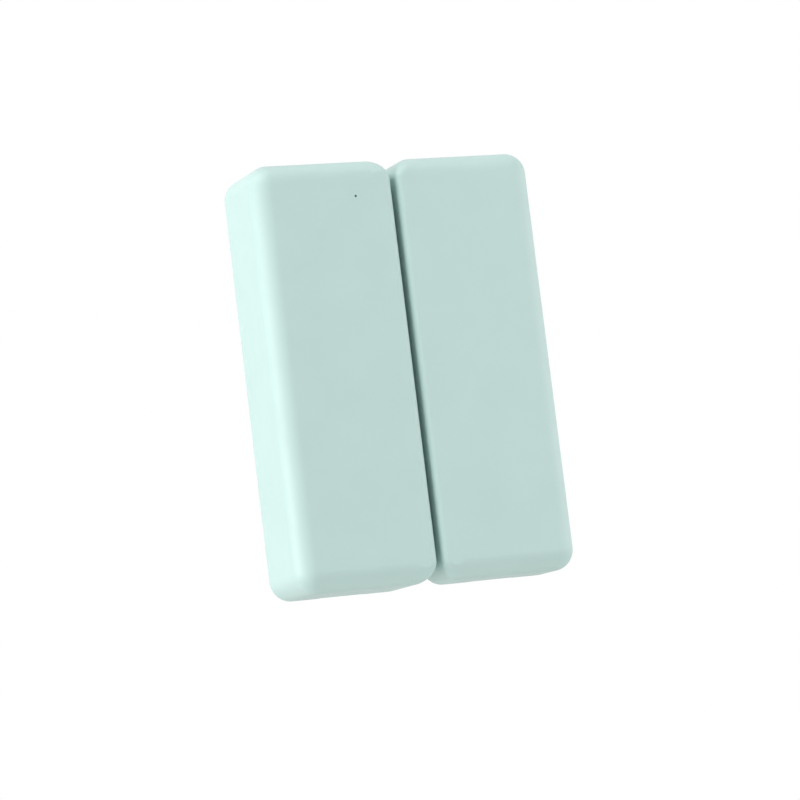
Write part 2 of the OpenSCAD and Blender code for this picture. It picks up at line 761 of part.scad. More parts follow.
stand() sensor_cover();
stand() light_pipe();
stand() sensor_base();
stand() sensor_adhesive_pad();
stand() circuit_board();
stand() board_screws();
stand() battery_can();
stand() battery_sleeve();
stand() battery_seal();
stand() battery_negative_cap();
stand() positive_contact();
stand() negative_contact();
stand() negative_spring();
stand() reed_glass();
stand() reed_fixed_blade();
stand() reed_moving_blade();
stand() reed_lead();
stand() radio_chip();
stand() crystal();
stand() chip_antenna();
stand() status_led();
stand() switch_housing();
stand() switch_plate();
stand() switch_legs();
stand() pairing_button();
stand() boost_coil();
stand() boost_regulator();
stand() storage_capacitor();
stand() chip_capacitors();
stand() chip_resistors();
stand() magnet_cover();
stand() magnet_base();
stand() bar_magnet();
stand() magnet_spacer();
stand() magnet_adhesive_pad();
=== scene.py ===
import math

import bmesh
import bpy
from mathutils import Matrix, Vector


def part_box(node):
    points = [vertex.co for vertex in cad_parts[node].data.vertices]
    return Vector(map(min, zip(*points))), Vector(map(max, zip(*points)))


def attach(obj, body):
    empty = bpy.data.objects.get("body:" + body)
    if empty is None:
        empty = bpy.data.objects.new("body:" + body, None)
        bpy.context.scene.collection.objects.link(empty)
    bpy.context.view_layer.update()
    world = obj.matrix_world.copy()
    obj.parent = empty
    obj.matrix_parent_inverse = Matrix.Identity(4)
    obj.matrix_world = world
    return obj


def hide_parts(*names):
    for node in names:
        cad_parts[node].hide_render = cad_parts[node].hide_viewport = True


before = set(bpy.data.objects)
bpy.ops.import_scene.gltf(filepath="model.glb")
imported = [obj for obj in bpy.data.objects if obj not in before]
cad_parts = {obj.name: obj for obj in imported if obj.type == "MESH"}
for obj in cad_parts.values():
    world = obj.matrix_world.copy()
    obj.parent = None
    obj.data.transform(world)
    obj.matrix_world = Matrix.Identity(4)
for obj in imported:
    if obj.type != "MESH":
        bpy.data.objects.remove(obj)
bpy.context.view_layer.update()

scene = bpy.context.scene

# Pieces are drawn in millimetres, lying on their backs as in the part's source:
# x to the right, y up the unit, z out of the wall. LIE stands them up in the row frame.
MM = 0.001
LIE = Matrix(((MM, 0, 0, 0), (0, 0, -MM, 0), (0, MM, 0, 0), (0, 0, 0, 1)))
TO_LYING = LIE.inverted()

# Sizes repeated from the part's source
UNIT_H, UNIT_W, UNIT_D, MAGNET_D, UNIT_GAP = 72.0, 24.7, 15.5, 11.0, 1.0
CORNER_ROUND, OUTER_ROUND, INNER_ROUND, LEAST_ROUND = 3.6, 3.5, 1.2, 0.3
SIDE_WALL, FRONT_WALL, PAD_T, PAD_ROUND = 1.5, 1.6, 0.8, 2.0
BASE_T, LIP_H, RIB_T, RIB_REACH, WELD = 1.6, 2.6, 1.4, 1.2, 0.3
NOTCH_W, NOTCH_D, SEAT_INSET, LOWER_SEAT_Y = 8.0, 1.0, 12.0, -30.2
PIN_FROM_SIDE, PIN_FROM_TOP, PIN_D = 6.8, 6.4, 0.4
PIPE_D, PIPE_FIT, BOSS_WALL, BOSS_H = 1.8, 0.05, 0.8, 3.5
WIRE_D, SPRING_L, SPRING_TURNS, SPRING_WIDE, SPRING_NARROW = 0.5, 4.5, 3.5, 7.0, 3.6
LEAD_SPAN, FOOT_L, FOOT_W, REGULATOR_W, REGULATOR_PITCH = 21.0, 1.4, 1.6, 1.6, 0.95

# Places that follow from them
HALF_W, HALF_H = UNIT_W / 2, UNIT_H / 2
SPACER_T = UNIT_D - MAGNET_D
FRONT_Z = PAD_T + UNIT_D
CAVITY_Z = FRONT_Z - FRONT_WALL
MAGNET_CAVITY_Z = PAD_T + MAGNET_D - FRONT_WALL
MAGNET_X = UNIT_W + UNIT_GAP
LIP_TOP = PAD_T + BASE_T + LIP_H
SEAT_Y = HALF_H - SEAT_INSET
PIN = (HALF_W - PIN_FROM_SIDE, HALF_H - PIN_FROM_TOP, 0)

# Points this close are welded, groups of fewer faces are flakes, and cutters pass a surface by CUT
SAME_POINT, FINE_POINT, LEAST_FACES, CUT = 1e-4, 1e-5, 8, 1.0


# Colours and materials

WHITE = (1, 1, 1, 1)
# Most values of a noise lie between these two
NOISE_LOW, NOISE_HIGH = 0.3, 0.7


def linear(colour):
    """Scene-linear value of a colour that is written as it looks, 0 to 255."""
    out = []
    for c in colour:
        c = c / 255
        out.append(c / 12.92 if c <= 0.04045 else ((c + 0.055) / 1.055) ** 2.4)
    return (*out, 1.0)


def new_node(tree, kind, values=None, links=None, **settings):
    """A node of a material or world, with its settings and, by socket, its values and incoming links."""
    node = tree.nodes.new(kind)
    for key, value in settings.items():
        setattr(node, key, value)
    for socket, value in (values or {}).items():
        node.inputs[socket].default_value = value
    for socket, source in (links or {}).items():
        tree.links.new(source, node.inputs[socket])
    return node


class Look:
    """A node material: colour drift, roughness drift and fine relief, mostly from noise."""

    def __init__(self, name, **sockets):
        self.mat = bpy.data.materials.new(name)
        self.mat.use_nodes = True
        self.tree = self.mat.node_tree
        self.bsdf = self.tree.nodes["Principled BSDF"]
        for key, value in sockets.items():
            self.bsdf.inputs[key.replace("_", " ")].default_value = value
        self.place = new_node(self.tree, "ShaderNodeTexCoord").outputs["Object"]

    def node(self, kind, values=None, links=None, **settings):
        return new_node(self.tree, kind, values, links, **settings)

    def use(self, source, socket):
        self.tree.links.new(source, self.bsdf.inputs[socket])

    def noise(self, size_mm, detail=3.0, rough=0.5, stretch=None):
        """Noise whose features are about size_mm across."""
        place = self.place
        if stretch:
            place = self.node("ShaderNodeMapping", {"Scale": stretch}, {"Vector": place}).outputs["Vector"]
        values = {"Scale": 1 / (size_mm * MM), "Detail": detail, "Roughness": rough}
        return self.node("ShaderNodeTexNoise", values, {"Vector": place}).outputs["Fac"]

    def cells(self, size_mm, feature="F1"):
        """Distance from the middles of cells about size_mm across."""
        values = {"Scale": 1 / (size_mm * MM)}
        node = self.node("ShaderNodeTexVoronoi", values, {"Vector": self.place}, feature=feature)
        return node.outputs["Distance"]

    def colour(self, source, stops):
        """Base colour that follows a source: stops is two pairs of (value, colour)."""
        ramp = self.node("ShaderNodeValToRGB", links={"Fac": source})
        for element, (at, shade) in zip(ramp.color_ramp.elements, stops):
            element.position = at
            element.color = linear(shade)
        self.use(ramp.outputs["Color"], "Base Color")

    def drift(self, colour, amount, size_mm):
        """A colour that wanders a little, lighter and darker, over size_mm."""
        dark = [c * (1 - amount) for c in colour]
        light = [min(255, c * (1 + amount)) for c in colour]
        self.colour(self.noise(size_mm), [(NOISE_LOW, dark), (NOISE_HIGH, light)])

    def rough(self, source, low, high):
        """Roughness that follows a noise from low to high."""
        span = {"From Min": NOISE_LOW, "From Max": NOISE_HIGH, "To Min": low, "To Max": high}
        self.use(self.node("ShaderNodeMapRange", span, {"Value": source}).outputs["Result"], "Roughness")

    def relief(self, source, depth_mm):
        """Fine height that follows a source."""
        values = {"Distance": depth_mm * MM, "Strength": 1.0}
        self.use(self.node("ShaderNodeBump", values, {"Height": source}).outputs["Normal"], "Normal")


def plastic(name, colour, rough, grain, depth, drift, **sockets):
    """Moulded plastic, resin or ceramic: rough is its two ends, grain and depth are its relief in mm."""
    look = Look(name, **sockets)
    look.drift(colour, drift, size_mm=9.0)
    look.rough(look.noise(2.5), *rough)
    look.relief(look.noise(grain, detail=2.0), depth)
    return look.mat


mint = plastic(
    "mint_satin", (190, 216, 212), (0.40, 0.48), grain=0.16, depth=0.0016, drift=0.006, IOR=1.46
)


# Mesh helpers

def polar(degrees):
    angle = math.radians(degrees)
    return math.cos(angle), math.sin(angle)


def around(steps):
    """Directions of a full turn."""
    return [polar(360 * i / steps) for i in range(steps)]


def add(target, part, slot=None):
    """Joins one bmesh to another, all in one material slot where it is given."""
    if slot is not None:
        for face in part.faces:
            face.material_index = slot
    scratch = bpy.data.meshes.new("scratch")
    part.to_mesh(scratch)
    part.free()
    target.from_mesh(scratch)
    bpy.data.meshes.remove(scratch)


def join(bm, rings):
    """Faces from each ring of vertices to the next."""
    for low, high in zip(rings, rings[1:]):
        for i in range(len(low)):
            bm.faces.new((low[i - 1], low[i], high[i], high[i - 1]))


def loft(bm, rows, closed=False, caps=(0, -1)):
    """Joins rows of points and covers the rows named in caps; closed joins the last row to the first."""
    rings = [[bm.verts.new(point) for point in row] for row in rows]
    join(bm, rings + rings[:1] if closed else rings)
    for row in caps:
        bm.faces.new(rings[row])
    return rings


def outward(bm):
    """Turns a form's faces outwards."""
    bmesh.ops.recalc_face_normals(bm, faces=bm.faces)
    return bm


def weld_points(bm, distance=SAME_POINT):
    bmesh.ops.remove_doubles(bm, verts=bm.verts, dist=distance)


def round_edges(bm, edges, bevel, segments):
    bmesh.ops.bevel(
        bm, geom=edges, offset=bevel, segments=segments, profile=0.5, affect="EDGES", clamp_overlap=True
    )


def block(lo, hi, bevel=0.0, segments=2):
    """A box between two corners, with rounded edges where a bevel is given."""
    bm = bmesh.new()
    size = [abs(h - l) for l, h in zip(lo, hi)]
    mid = [(h + l) / 2 for l, h in zip(lo, hi)]
    bmesh.ops.create_cube(bm, size=1, matrix=Matrix.Translation(mid) @ Matrix.Diagonal((*size, 1)))
    if bevel:
        round_edges(bm, bm.edges[:], bevel, segments)
    return bm


def turned(profile, at, steps=40, along_y=False):
    """A turned form: profile is (radius, height) from one end to the other, along z or along y."""
    bm = bmesh.new()
    loft(bm, [[(r * c, r * s, h) for c, s in around(steps)] for r, h in profile], caps=())
    weld_points(bm, FINE_POINT)
    if along_y:
        bm.transform(Matrix.Rotation(math.radians(-90), 4, "X"))
    bm.transform(Matrix.Translation(at))
    return outward(bm)


def plug(r, z0, z1, end_r=None):
    """Profile of a solid disc from z0, where its radius is r, to z1, where it may be end_r."""
    return [(0, z0), (r, z0), (end_r or r, z1), (0, z1)]


def washer(hole_r, r, z0, z1, slope):
    """Closed profile of a ring whose outer side slopes in towards z1."""
    return [(hole_r, z0), (hole_r, z1), (r - slope, z1), (r, z0), (hole_r, z0)]


def islands(bm):
    """Groups of faces that hang together by their edges."""
    seen, groups = set(), []
    for start in bm.faces:
        if start in seen:
            continue
        seen.add(start)
        group = [start]
        for face in group:
            for other in (face for edge in face.edges for face in edge.link_faces):
                if other not in seen:
                    seen.add(other)
                    group.append(other)
        groups.append(group)
    return groups


def tidied(bm):
    """Welds a form and deletes the loose flakes that rounding and cutting leave."""
    weld_points(bm)
    flakes = [face for group in islands(bm) if len(group) < LEAST_FACES for face in group]
    bmesh.ops.delete(bm, geom=flakes, context="FACES")
    return bm


def mesh_object(name, bm):
    mesh = bpy.data.meshes.new(name)
    bm.to_mesh(mesh)
    bm.free()
    obj = bpy.data.objects.new(name, mesh)
    scene.collection.objects.link(obj)
    return obj


def carve(base, tools):
    """Joins or cuts solids in order and gives the result as a bmesh: tools is (operation, bmesh)."""
    scratch = [mesh_object("carve", base)]
    for i, (operation, bm) in enumerate(tools):
        scratch.append(mesh_object(f"carve_{i}", bm))
        step = scratch[0].modifiers.new(f"step_{i}", "BOOLEAN")
        step.operation = operation
        step.solver = "EXACT"
        step.object = scratch[-1]
    bpy.context.view_layer.update()
    ready = scratch[0].evaluated_get(bpy.context.evaluated_depsgraph_get())
    done = bpy.data.meshes.new_from_object(ready)
    out = bmesh.new()
    out.from_mesh(done)
    bpy.data.meshes.remove(done)
    for obj in scratch:
        mesh = obj.data
        bpy.data.objects.remove(obj)
        bpy.data.meshes.remove(mesh)
    return tidied(out)


def piece(name, bm, mats, body, replaced=None, sharp=30):
    """Makes a piece from a bmesh in the lying frame, gives it its finish, ties it to its body and hides the
    CAD node that it replaces.
    """
    bm.transform(LIE)
    obj = mesh_object(name, bm)
    for mat in mats if isinstance(mats, list) else [mats]:
        obj.data.materials.append(mat)
    obj.data.shade_smooth()
    obj.data.set_sharp_from_angle(angle=math.radians(sharp))
    obj.modifiers.new("normals", "WEIGHTED_NORMAL").keep_sharp = True
    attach(obj, body)
    if replaced:
        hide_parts(replaced)


def room(node):
    """Lowest and highest corner of a CAD node, in the lying frame."""
    a, b = (TO_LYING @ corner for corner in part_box(node))
    return Vector(map(min, a, b)), Vector(map(max, a, b))


# Covers

CORNER_STEPS, EDGE_STEPS, RIM_STEPS = 16, 12, 3
OUTER_RIM, INNER_RIM, BOSS_CHAMFER, KEEPER_GAP = 0.2, 0.15, 0.15, 0.1
PIN_FLARE, FLARE_OVER = 0.02, 0.06


def outline(inset):
    """Points round a unit, each with its inward direction and its front edge's radius; the gap is at +x."""
    radii = (CORNER_ROUND, OUTER_ROUND, INNER_ROUND)
    corner, outer, gap_side = (max(r - inset, LEAST_ROUND) for r in radii)
    x, y = HALF_W - inset - corner, HALF_H - inset - corner
    rows = []
    for quarter, (cx, cy) in enumerate(((x, y), (-x, y), (-x, -y), (x, -y))):
        for i in range(CORNER_STEPS + 1):
            t = i / CORNER_STEPS
            c, s = polar(90 * (quarter + t))
            turn = (t, 1, 1, 1 - t)[quarter]
            edge = gap_side + (outer - gap_side) * turn * turn * (3 - 2 * turn)
            rows.append((cx + corner * c, cy + corner * s, -c, -s, edge))
    return rows


def skin(bm, inset, rear, front, rim):
    """One skin of a cover, from its rear, rounded by rim, to its flat front. Returns the rear ring."""
    rows = outline(inset)
    levels = []
    for i in range(RIM_STEPS + 1):
        c, s = polar(90 * i / RIM_STEPS)
        shift, rise = rim * (1 - s), abs(rim) * (1 - c)
        levels.append([(x + shift * nx, y + shift * ny, rear + rise) for x, y, nx, ny, edge in rows])
    for i in range(EDGE_STEPS + 1):
        c, s = polar(90 * i / EDGE_STEPS)
        levels.append([
            (x + edge * (1 - c) * nx, y + edge * (1 - c) * ny, front - edge * (1 - s))
            for x, y, nx, ny, edge in rows
        ])
    return loft(bm, levels, caps=[-1])[0]


def shell(depth):
    """A hollow cover, open at the rear."""
    bm = bmesh.new()
    outer = skin(bm, 0, PAD_T, PAD_T + depth, OUTER_RIM)
    inner = skin(bm, SIDE_WALL, PAD_T, PAD_T + depth - FRONT_WALL, -INNER_RIM)
    join(bm, [outer, inner])
    weld_points(bm)
    bmesh.ops.dissolve_degenerate(bm, dist=FINE_POINT, edges=bm.edges)
    return outward(bm)


def cover_tools(cavity):
    """The ribs that a cover seats with, and the notch in its lower rim."""
    tools = []
    for side, y in ((-1, SEAT_Y), (-1, LOWER_SEAT_Y), (1, SEAT_Y), (1, -SEAT_Y)):
        x = side * (HALF_W - SIDE_WALL)
        tools.append(("UNION", block(
            (x - side * RIB_REACH, y - RIB_T / 2, LIP_TOP),
            (x + side * WELD, y + RIB_T / 2, cavity + WELD),
        )))
    tools.append(("DIFFERENCE", block(
        (-NOTCH_W / 2, -HALF_H - CUT, PAD_T - CUT),
        (NOTCH_W / 2, SIDE_WALL + CUT - HALF_H, PAD_T + NOTCH_D),
    )))
    return tools


bore_r = PIPE_D / 2 + PIPE_FIT
boss_r = bore_r + BOSS_WALL
boss_z = CAVITY_Z - BOSS_H
boss = turned([
    (0, boss_z), (boss_r - BOSS_CHAMFER, boss_z), (boss_r, boss_z + BOSS_CHAMFER),
    (boss_r, CAVITY_Z + WELD), (0, CAVITY_Z + WELD),
], PIN)
bore = turned(plug(bore_r, boss_z - CUT, CAVITY_Z), PIN)
pin_hole = turned([
    (0, CAVITY_Z - CUT), (PIN_D / 2, CAVITY_Z - CUT), (PIN_D / 2, FRONT_Z - PIN_FLARE),
    (PIN_D / 2 + PIN_FLARE + FLARE_OVER, FRONT_Z + FLARE_OVER), (0, FRONT_Z + FLARE_OVER),
], PIN, steps=24)
sensor_cover = carve(shell(UNIT_D), [
    *cover_tools(CAVITY_Z), ("UNION", boss), ("DIFFERENCE", bore), ("DIFFERENCE", pin_hole),
])
piece("sensor_cover_shell", sensor_cover, mint, "cover", "sensor_cover")

mag_lo, mag_hi = room("bar_magnet")
keepers = []
for up in (-1, 1):
    y = (mag_lo.y + mag_hi.y) / 2 + up * (mag_hi.y - mag_lo.y) / 3
    keepers.append(("UNION", block(
        (MAGNET_X - mag_hi.x, y - RIB_T / 2, mag_hi.z - SPACER_T + KEEPER_GAP),
        (MAGNET_X - mag_lo.x, y + RIB_T / 2, MAGNET_CAVITY_Z + WELD),
    )))
magnet_cover = carve(shell(MAGNET_D), [*cover_tools(MAGNET_CAVITY_Z), *keepers])
magnet_cover.transform(Matrix.Translation((MAGNET_X, 0, SPACER_T)) @ Matrix.Diagonal((-1, 1, 1, 1)))
bmesh.ops.reverse_faces(magnet_cover, faces=magnet_cover.faces)
piece("magnet_cover_shell", magnet_cover, mint, "magnet_unit", "magnet_cover")


# Looks of the inner pieces

def metal(name, colour, rough, brush=None, depth=0.0012):
    """Metal with a fine grain, which brush draws out along an axis."""
    look = Look(name, Metallic=1.0)
    look.drift(colour, 0.05, size_mm=1.5)
    grain = look.noise(0.25, detail=4.0, rough=0.6, stretch=brush)
    look.rough(grain, *rough)
    look.relief(grain, depth)
    return look.mat


def foam_look():
    """Closed-cell foam: pale walls round pores, which are painted darker as painted shade inside them, over
    the pores' relief.
    """
    look = Look("foam_cells", Roughness=0.92)
    pores = look.cells(0.22)
    # Painted shade: the colour darkens towards each pore's middle, where shade would fall
    look.colour(pores, [(0.05, (196, 197, 192)), (0.45, (238, 238, 234))])
    look.relief(pores, depth_mm=0.05)
    return look.mat


def tack_look():
    """The sticky face of the foam, with the weave of its carrier showing through."""
    look = Look("adhesive_face", IOR=1.47)
    values = {"Scale": 0.16 / MM, "Distortion": 0.6}
    threads = {}
    for socket, axis in enumerate("XZ"):
        wave = look.node(
            "ShaderNodeTexWave", values, {"Vector": look.place}, wave_type="BANDS", bands_direction=axis
        )
        threads[socket] = wave.outputs["Fac"]
    weave = look.node("ShaderNodeMath", links=threads, operation="MULTIPLY")
    look.drift((232, 232, 225), 0.012, size_mm=2.0)
    look.rough(look.noise(1.2), 0.28, 0.5)
    look.relief(weave.outputs[0], depth_mm=0.02)
    return look.mat


def film_look(name, colour):
    """Shrunk film: glossy, with faint waves round the cell."""
    look = Look(name, IOR=1.5, Coat_Weight=0.3)
    look.drift(colour, 0.05, size_mm=3.0)
    look.rough(look.noise(2.0), 0.22, 0.34)
    look.relief(look.noise(1.6, detail=2.0, rough=0.4, stretch=(1, 1, 0.25)), depth_mm=0.02)
    return look.mat


def clear_look(name, colour, rough, ior):
    """Clear plastic or glass."""
    look = Look(name, Transmission_Weight=1.0, IOR=ior)
    look.drift(colour, 0.01, size_mm=1.0)
    look.rough(look.noise(0.5), *rough)
    look.relief(look.noise(0.6, detail=1.0), depth_mm=0.0006)
    return look.mat


def mask_look(name, colour):
    """Solder mask: glossy lacquer with the weave of the laminate just showing."""
    look = Look(name, IOR=1.5, Coat_Weight=0.2)
    look.drift(colour, 0.08, size_mm=2.2)
    look.rough(look.noise(0.7), 0.26, 0.4)
    look.relief(look.cells(0.35, "SMOOTH_F1"), depth_mm=0.004)
    return look.mat


inner = plastic(
    "inner_plastic", (208, 213, 208), (0.42, 0.56), grain=0.22, depth=0.003, drift=0.015, IOR=1.46
)
foam = foam_look()
tack = tack_look()
mask = mask_look("solder_mask", (22, 86, 58))
track = mask_look("masked_copper", (38, 116, 80))
laminate = plastic("laminate_edge", (196, 180, 126), (0.6, 0.8), grain=0.2, depth=0.01, drift=0.08)
ink = plastic("board_ink", (228, 230, 226), (0.5, 0.65), grain=0.15, depth=0.004, drift=0.03)
gold = metal("gold_pads", (224, 188, 112), (0.24, 0.38))
steel = metal("steel", (190, 192, 194), (0.2, 0.34), brush=(1, 1, 0.15))
tin = metal("tin_plate", (208, 208, 203), (0.26, 0.44))
solder = metal("solder", (200, 202, 203), (0.16, 0.3))
copper = metal("winding_wire", (176, 98, 52), (0.25, 0.4), brush=(1, 6, 1), depth=0.01)
film = film_look("sleeve_film", (46, 138, 104))
band = film_look("sleeve_band", (206, 212, 210))
seal = plastic("seal_plastic", (78, 79, 82), (0.5, 0.65), grain=0.2, depth=0.004, drift=0.04)
glass = clear_look("reed_glass", (216, 240, 226), (0.02, 0.05), ior=1.5)
clear = clear_look("clear_plastic", (240, 248, 246), (0.03, 0.08), ior=1.49)
resin = plastic("black_resin", (38, 38, 41), (0.5, 0.66), grain=0.08, depth=0.005, drift=0.08)
ceramic = plastic("ceramic", (231, 232, 230), (0.35, 0.5), grain=0.1, depth=0.003, drift=0.02)
lens = plastic(
    "led_lens", (240, 236, 200), (0.12, 0.2), grain=0.5, depth=0.002, drift=0.02, Transmission_Weight=0.35
)
button_white = plastic("button_plastic", (233, 236, 233), (0.4, 0.52), grain=0.15, depth=0.003, drift=0.015)
ferrite = plastic("ferrite", (76, 76, 80), (0.45, 0.62), grain=0.12, depth=0.012, drift=0.1)
amber = plastic("amber_resin", (216, 152, 48), (0.4, 0.55), grain=0.1, depth=0.004, drift=0.04)
amber_bar = plastic("amber_bar", (150, 84, 24), (0.45, 0.6), grain=0.1, depth=0.004, drift=0.05)
brown = plastic("capacitor_ceramic", (166, 138, 106), (0.4, 0.55), grain=0.08, depth=0.004, drift=0.05)


# Helpers for the inner pieces

LEAST_MITRE = 0.4
# Solder: the height of its rim, how much it narrows, and its curve as shares of its reach and rise
SOLDER_RIM, SOLDER_TAPER, SOLDER_CURVE = 0.03, 0.12, ((0.55, 0.16), (0.22, 0.45))


def form(node):
    """A CAD node's own form, in the lying frame."""
    bm = bmesh.new()
    bm.from_mesh(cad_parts[node].data)
    bm.transform(TO_LYING)
    weld_points(bm)
    return bm


def rooms(node):
    """Lowest and highest corners of each solid of a CAD node, in the lying frame."""
    bm = form(node)
    found = []
    for group in islands(bm):
        points = [vert.co for face in group for vert in face.verts]
        found.append((Vector(map(min, zip(*points))), Vector(map(max, zip(*points)))))
    bm.free()
    return found


def refined(node, bevel, segments=2, least=40):
    """A CAD node's own form with its flat faces joined and its edges of over least degrees rounded."""
    bm = form(node)
    bmesh.ops.dissolve_limit(bm, angle_limit=math.radians(1), verts=bm.verts, edges=bm.edges)
    least = math.radians(least)
    edges = [e for e in bm.edges if len(e.link_faces) == 2 and e.calc_face_angle(0) > least]
    round_edges(bm, edges, bevel, segments)
    return tidied(bm)


def slots_by_facing(bm, level, upright, limit):
    """Gives the faces that look along z the slot level, and the others the slot upright."""
    bm.normal_update()
    for face in bm.faces:
        face.material_index = level if abs(face.normal.z) > limit else upright
    return bm


def slab(lo, hi, r, levels, inset=(0, 0), steps=4):
    """A solid on a room's plan, inset in x and y, with corners of radius r.

    levels is (height, further inset), from the bottom up."""
    mid, size = (lo + hi) / 2, hi - lo
    x, y = size.x / 2 - inset[0] - r, size.y / 2 - inset[1] - r
    rows = []
    for quarter, (cx, cy) in enumerate(((x, y), (-x, y), (-x, -y), (x, -y))):
        for i in range(steps + 1):
            rows.append((mid.x + cx, mid.y + cy, *polar(90 * (quarter + i / steps))))
    points = [(cx + r * c, cy + r * s) for cx, cy, c, s in rows]
    inward = []
    for i, after in enumerate(points[1:] + points[:1]):
        d = (Vector(after) - Vector(points[i - 1])).normalized()
        inward.append((-d.y, d.x))
    bm = bmesh.new()
    loft(bm, [
        [(x + k * nx, y + k * ny, z) for (x, y), (nx, ny) in zip(points, inward)] for z, k in levels
    ])
    return outward(bm)


def heading(path, i):
    """Direction of a path at its point i."""
    return (path[min(i + 1, len(path) - 1)] - path[max(i - 1, 0)]).normalized()


def swept(points, radius, sides):
    """A round wire along a path, with flat ends."""
    bm = bmesh.new()
    path = [Vector(p) for p in points]
    normal = heading(path, 0).orthogonal()
    rows = []
    for i, p in enumerate(path):
        d = heading(path, i)
        normal = (normal - d * normal.dot(d)).normalized()
        side = d.cross(normal)
        rows.append([p + radius * (c * normal + s * side) for c, s in around(sides)])
    loft(bm, rows)
    return outward(bm)


def ribbon(points, width, z0, z1, closed=False):
    """A flat strip along a route on the board, with mitred corners."""
    bm = bmesh.new()
    path = [Vector(p) for p in points]
    end = len(path) - 1
    rows = []
    for i, p in enumerate(path):
        before = (p - path[i - 1] if i or closed else path[1] - p).normalized()
        after = (path[(i + 1) % len(path)] - p if i < end or closed else p - path[i - 1]).normalized()
        side = Vector((-(before.y + after.y), before.x + after.x)).normalized()
        reach = width / 2 / max(LEAST_MITRE, side.dot(Vector((-after.y, after.x))))
        a, b = p + side * reach, p - side * reach
        rows.append([(a.x, a.y, z0), (a.x, a.y, z1), (b.x, b.y, z1), (b.x, b.y, z0)])
    loft(bm, rows, closed, caps=() if closed else (0, -1))
    return outward(bm)


def placed(x, y, z, turn):
    return Matrix.Translation((x, y, z)) @ Matrix.Rotation(math.radians(turn), 4, "Z")


def strap(points, width, thick, where):
    """A bent strip of sheet: points is its path in the x and z of the placement where."""
    bm = bmesh.new()
    path = [Vector(p) for p in points]
    rows = []
    for i, p in enumerate(path):
        d = heading(path, i)
        q = p + Vector((-d.y, d.x)) * thick
        rows.append([(a.x, side * width / 2, a.y) for side, a in ((-1, p), (-1, q), (1, q), (1, p))])
    loft(bm, rows)
    bm.transform(where)
    return outward(bm)


def fillet(x, y, turn, width, reach, rise):
    """Solder on the board that runs from a terminal down to its pad, in the direction of turn."""
    bm = bmesh.new()
    edge = [(0, 0), (reach, 0), (reach, SOLDER_RIM)]
    edge += [(out * reach, up * rise) for out, up in SOLDER_CURVE] + [(0, rise)]
    loft(bm, [
        [(a, side * width / 2 * (1 - SOLDER_TAPER * a / reach), h) for a, h in edge] for side in (-1, 1)
    ])
    bm.transform(placed(x, y, TOP, turn))
    return outward(bm)


# Bases and pads

TRAY_EDGE, MARK_R, MARK_DEPTH, MARK_X, MARK_Y = 0.1, 1.5, 0.06, 6.5, 31.4
FOAM_WAIST = 0.07


def marked_tray(node, x):
    """A tray with four ejector marks in its rear."""
    marks = []
    for side in (-1, 1):
        for up in (-1, 1):
            mark = plug(MARK_R, PAD_T - CUT, PAD_T + MARK_DEPTH)
            marks.append(("DIFFERENCE", turned(mark, (x + side * MARK_X, up * MARK_Y, 0))))
    return carve(refined(node, TRAY_EDGE), marks)


def foam_pad(node):
    """A foam pad with pressed edges and a waist; its two large faces are slot 1."""
    lo, hi = room(node)
    t = hi.z - lo.z
    edge = [(0, 0.12), (0.06, 0.02), (0.25 * t, 0)]
    levels = [(lo.z + h, k) for h, k in edge] + [(lo.z + t / 2, FOAM_WAIST)]
    levels += [(hi.z - h, k) for h, k in reversed(edge)]
    return slots_by_facing(slab(lo, hi, PAD_ROUND, levels, steps=8), 1, 0, limit=0.9)


sensor_tray = marked_tray("sensor_base", 0)
piece("sensor_base_tray", sensor_tray, inner, "sensor_unit", "sensor_base")
magnet_tray = refined("magnet_base", TRAY_EDGE)
piece("magnet_base_tray", magnet_tray, inner, "magnet_unit", "magnet_base")
spacer_tray = marked_tray("magnet_spacer", MAGNET_X)
piece("magnet_spacer_tray", spacer_tray, inner, "magnet_unit", "magnet_spacer")
for unit in ("sensor", "magnet"):
    node = f"{unit}_adhesive_pad"
    piece(f"{unit}_foam_pad", foam_pad(node), [foam, tack], f"{unit}_unit", node)


# Circuit board

board = slots_by_facing(refined("circuit_board", bevel=0.05), 0, 1, limit=0.6)
piece("board_laminate", board, [mask, laminate], "sensor_unit", "circuit_board")

TOP = room("circuit_board")[1].z
chip_lo, chip_hi = room("radio_chip")
crystal_lo, crystal_hi = room("crystal")
antenna_lo, antenna_hi = room("chip_antenna")
led_lo, led_hi = room("status_led")
coil_lo, coil_hi = room("boost_coil")
tantalum_lo, tantalum_hi = room("storage_capacitor")
switch_lo, switch_hi = room("switch_housing")

# Widths of the tracks, then their heights and those of the pads above the board, and SUNK into it
SIGNAL, FEED, POWER, LINK = 0.22, 0.4, 0.5, 0.6
TRACK_T, VIA_T, TEST_PAD_T, SCREW_PAD_T, SUNK = 0.03, 0.04, 0.045, 0.03, 0.01
VIA_R, VIA_HOLE_R, VIA_SLOPE = 0.29, 0.12, 0.02
TEST_PAD_R, TEST_X, TEST_Y, TEST_PITCH, TEST_PADS = 0.56, -3.0, 21.4, 1.8, 4
SCREW_PAD_R, SCREW_HOLE_R, SCREW_PAD_SLOPE = 2.0, 1.0, 0.05
INK_W, INK_T, DOT_R = 0.13, 0.035, 0.2

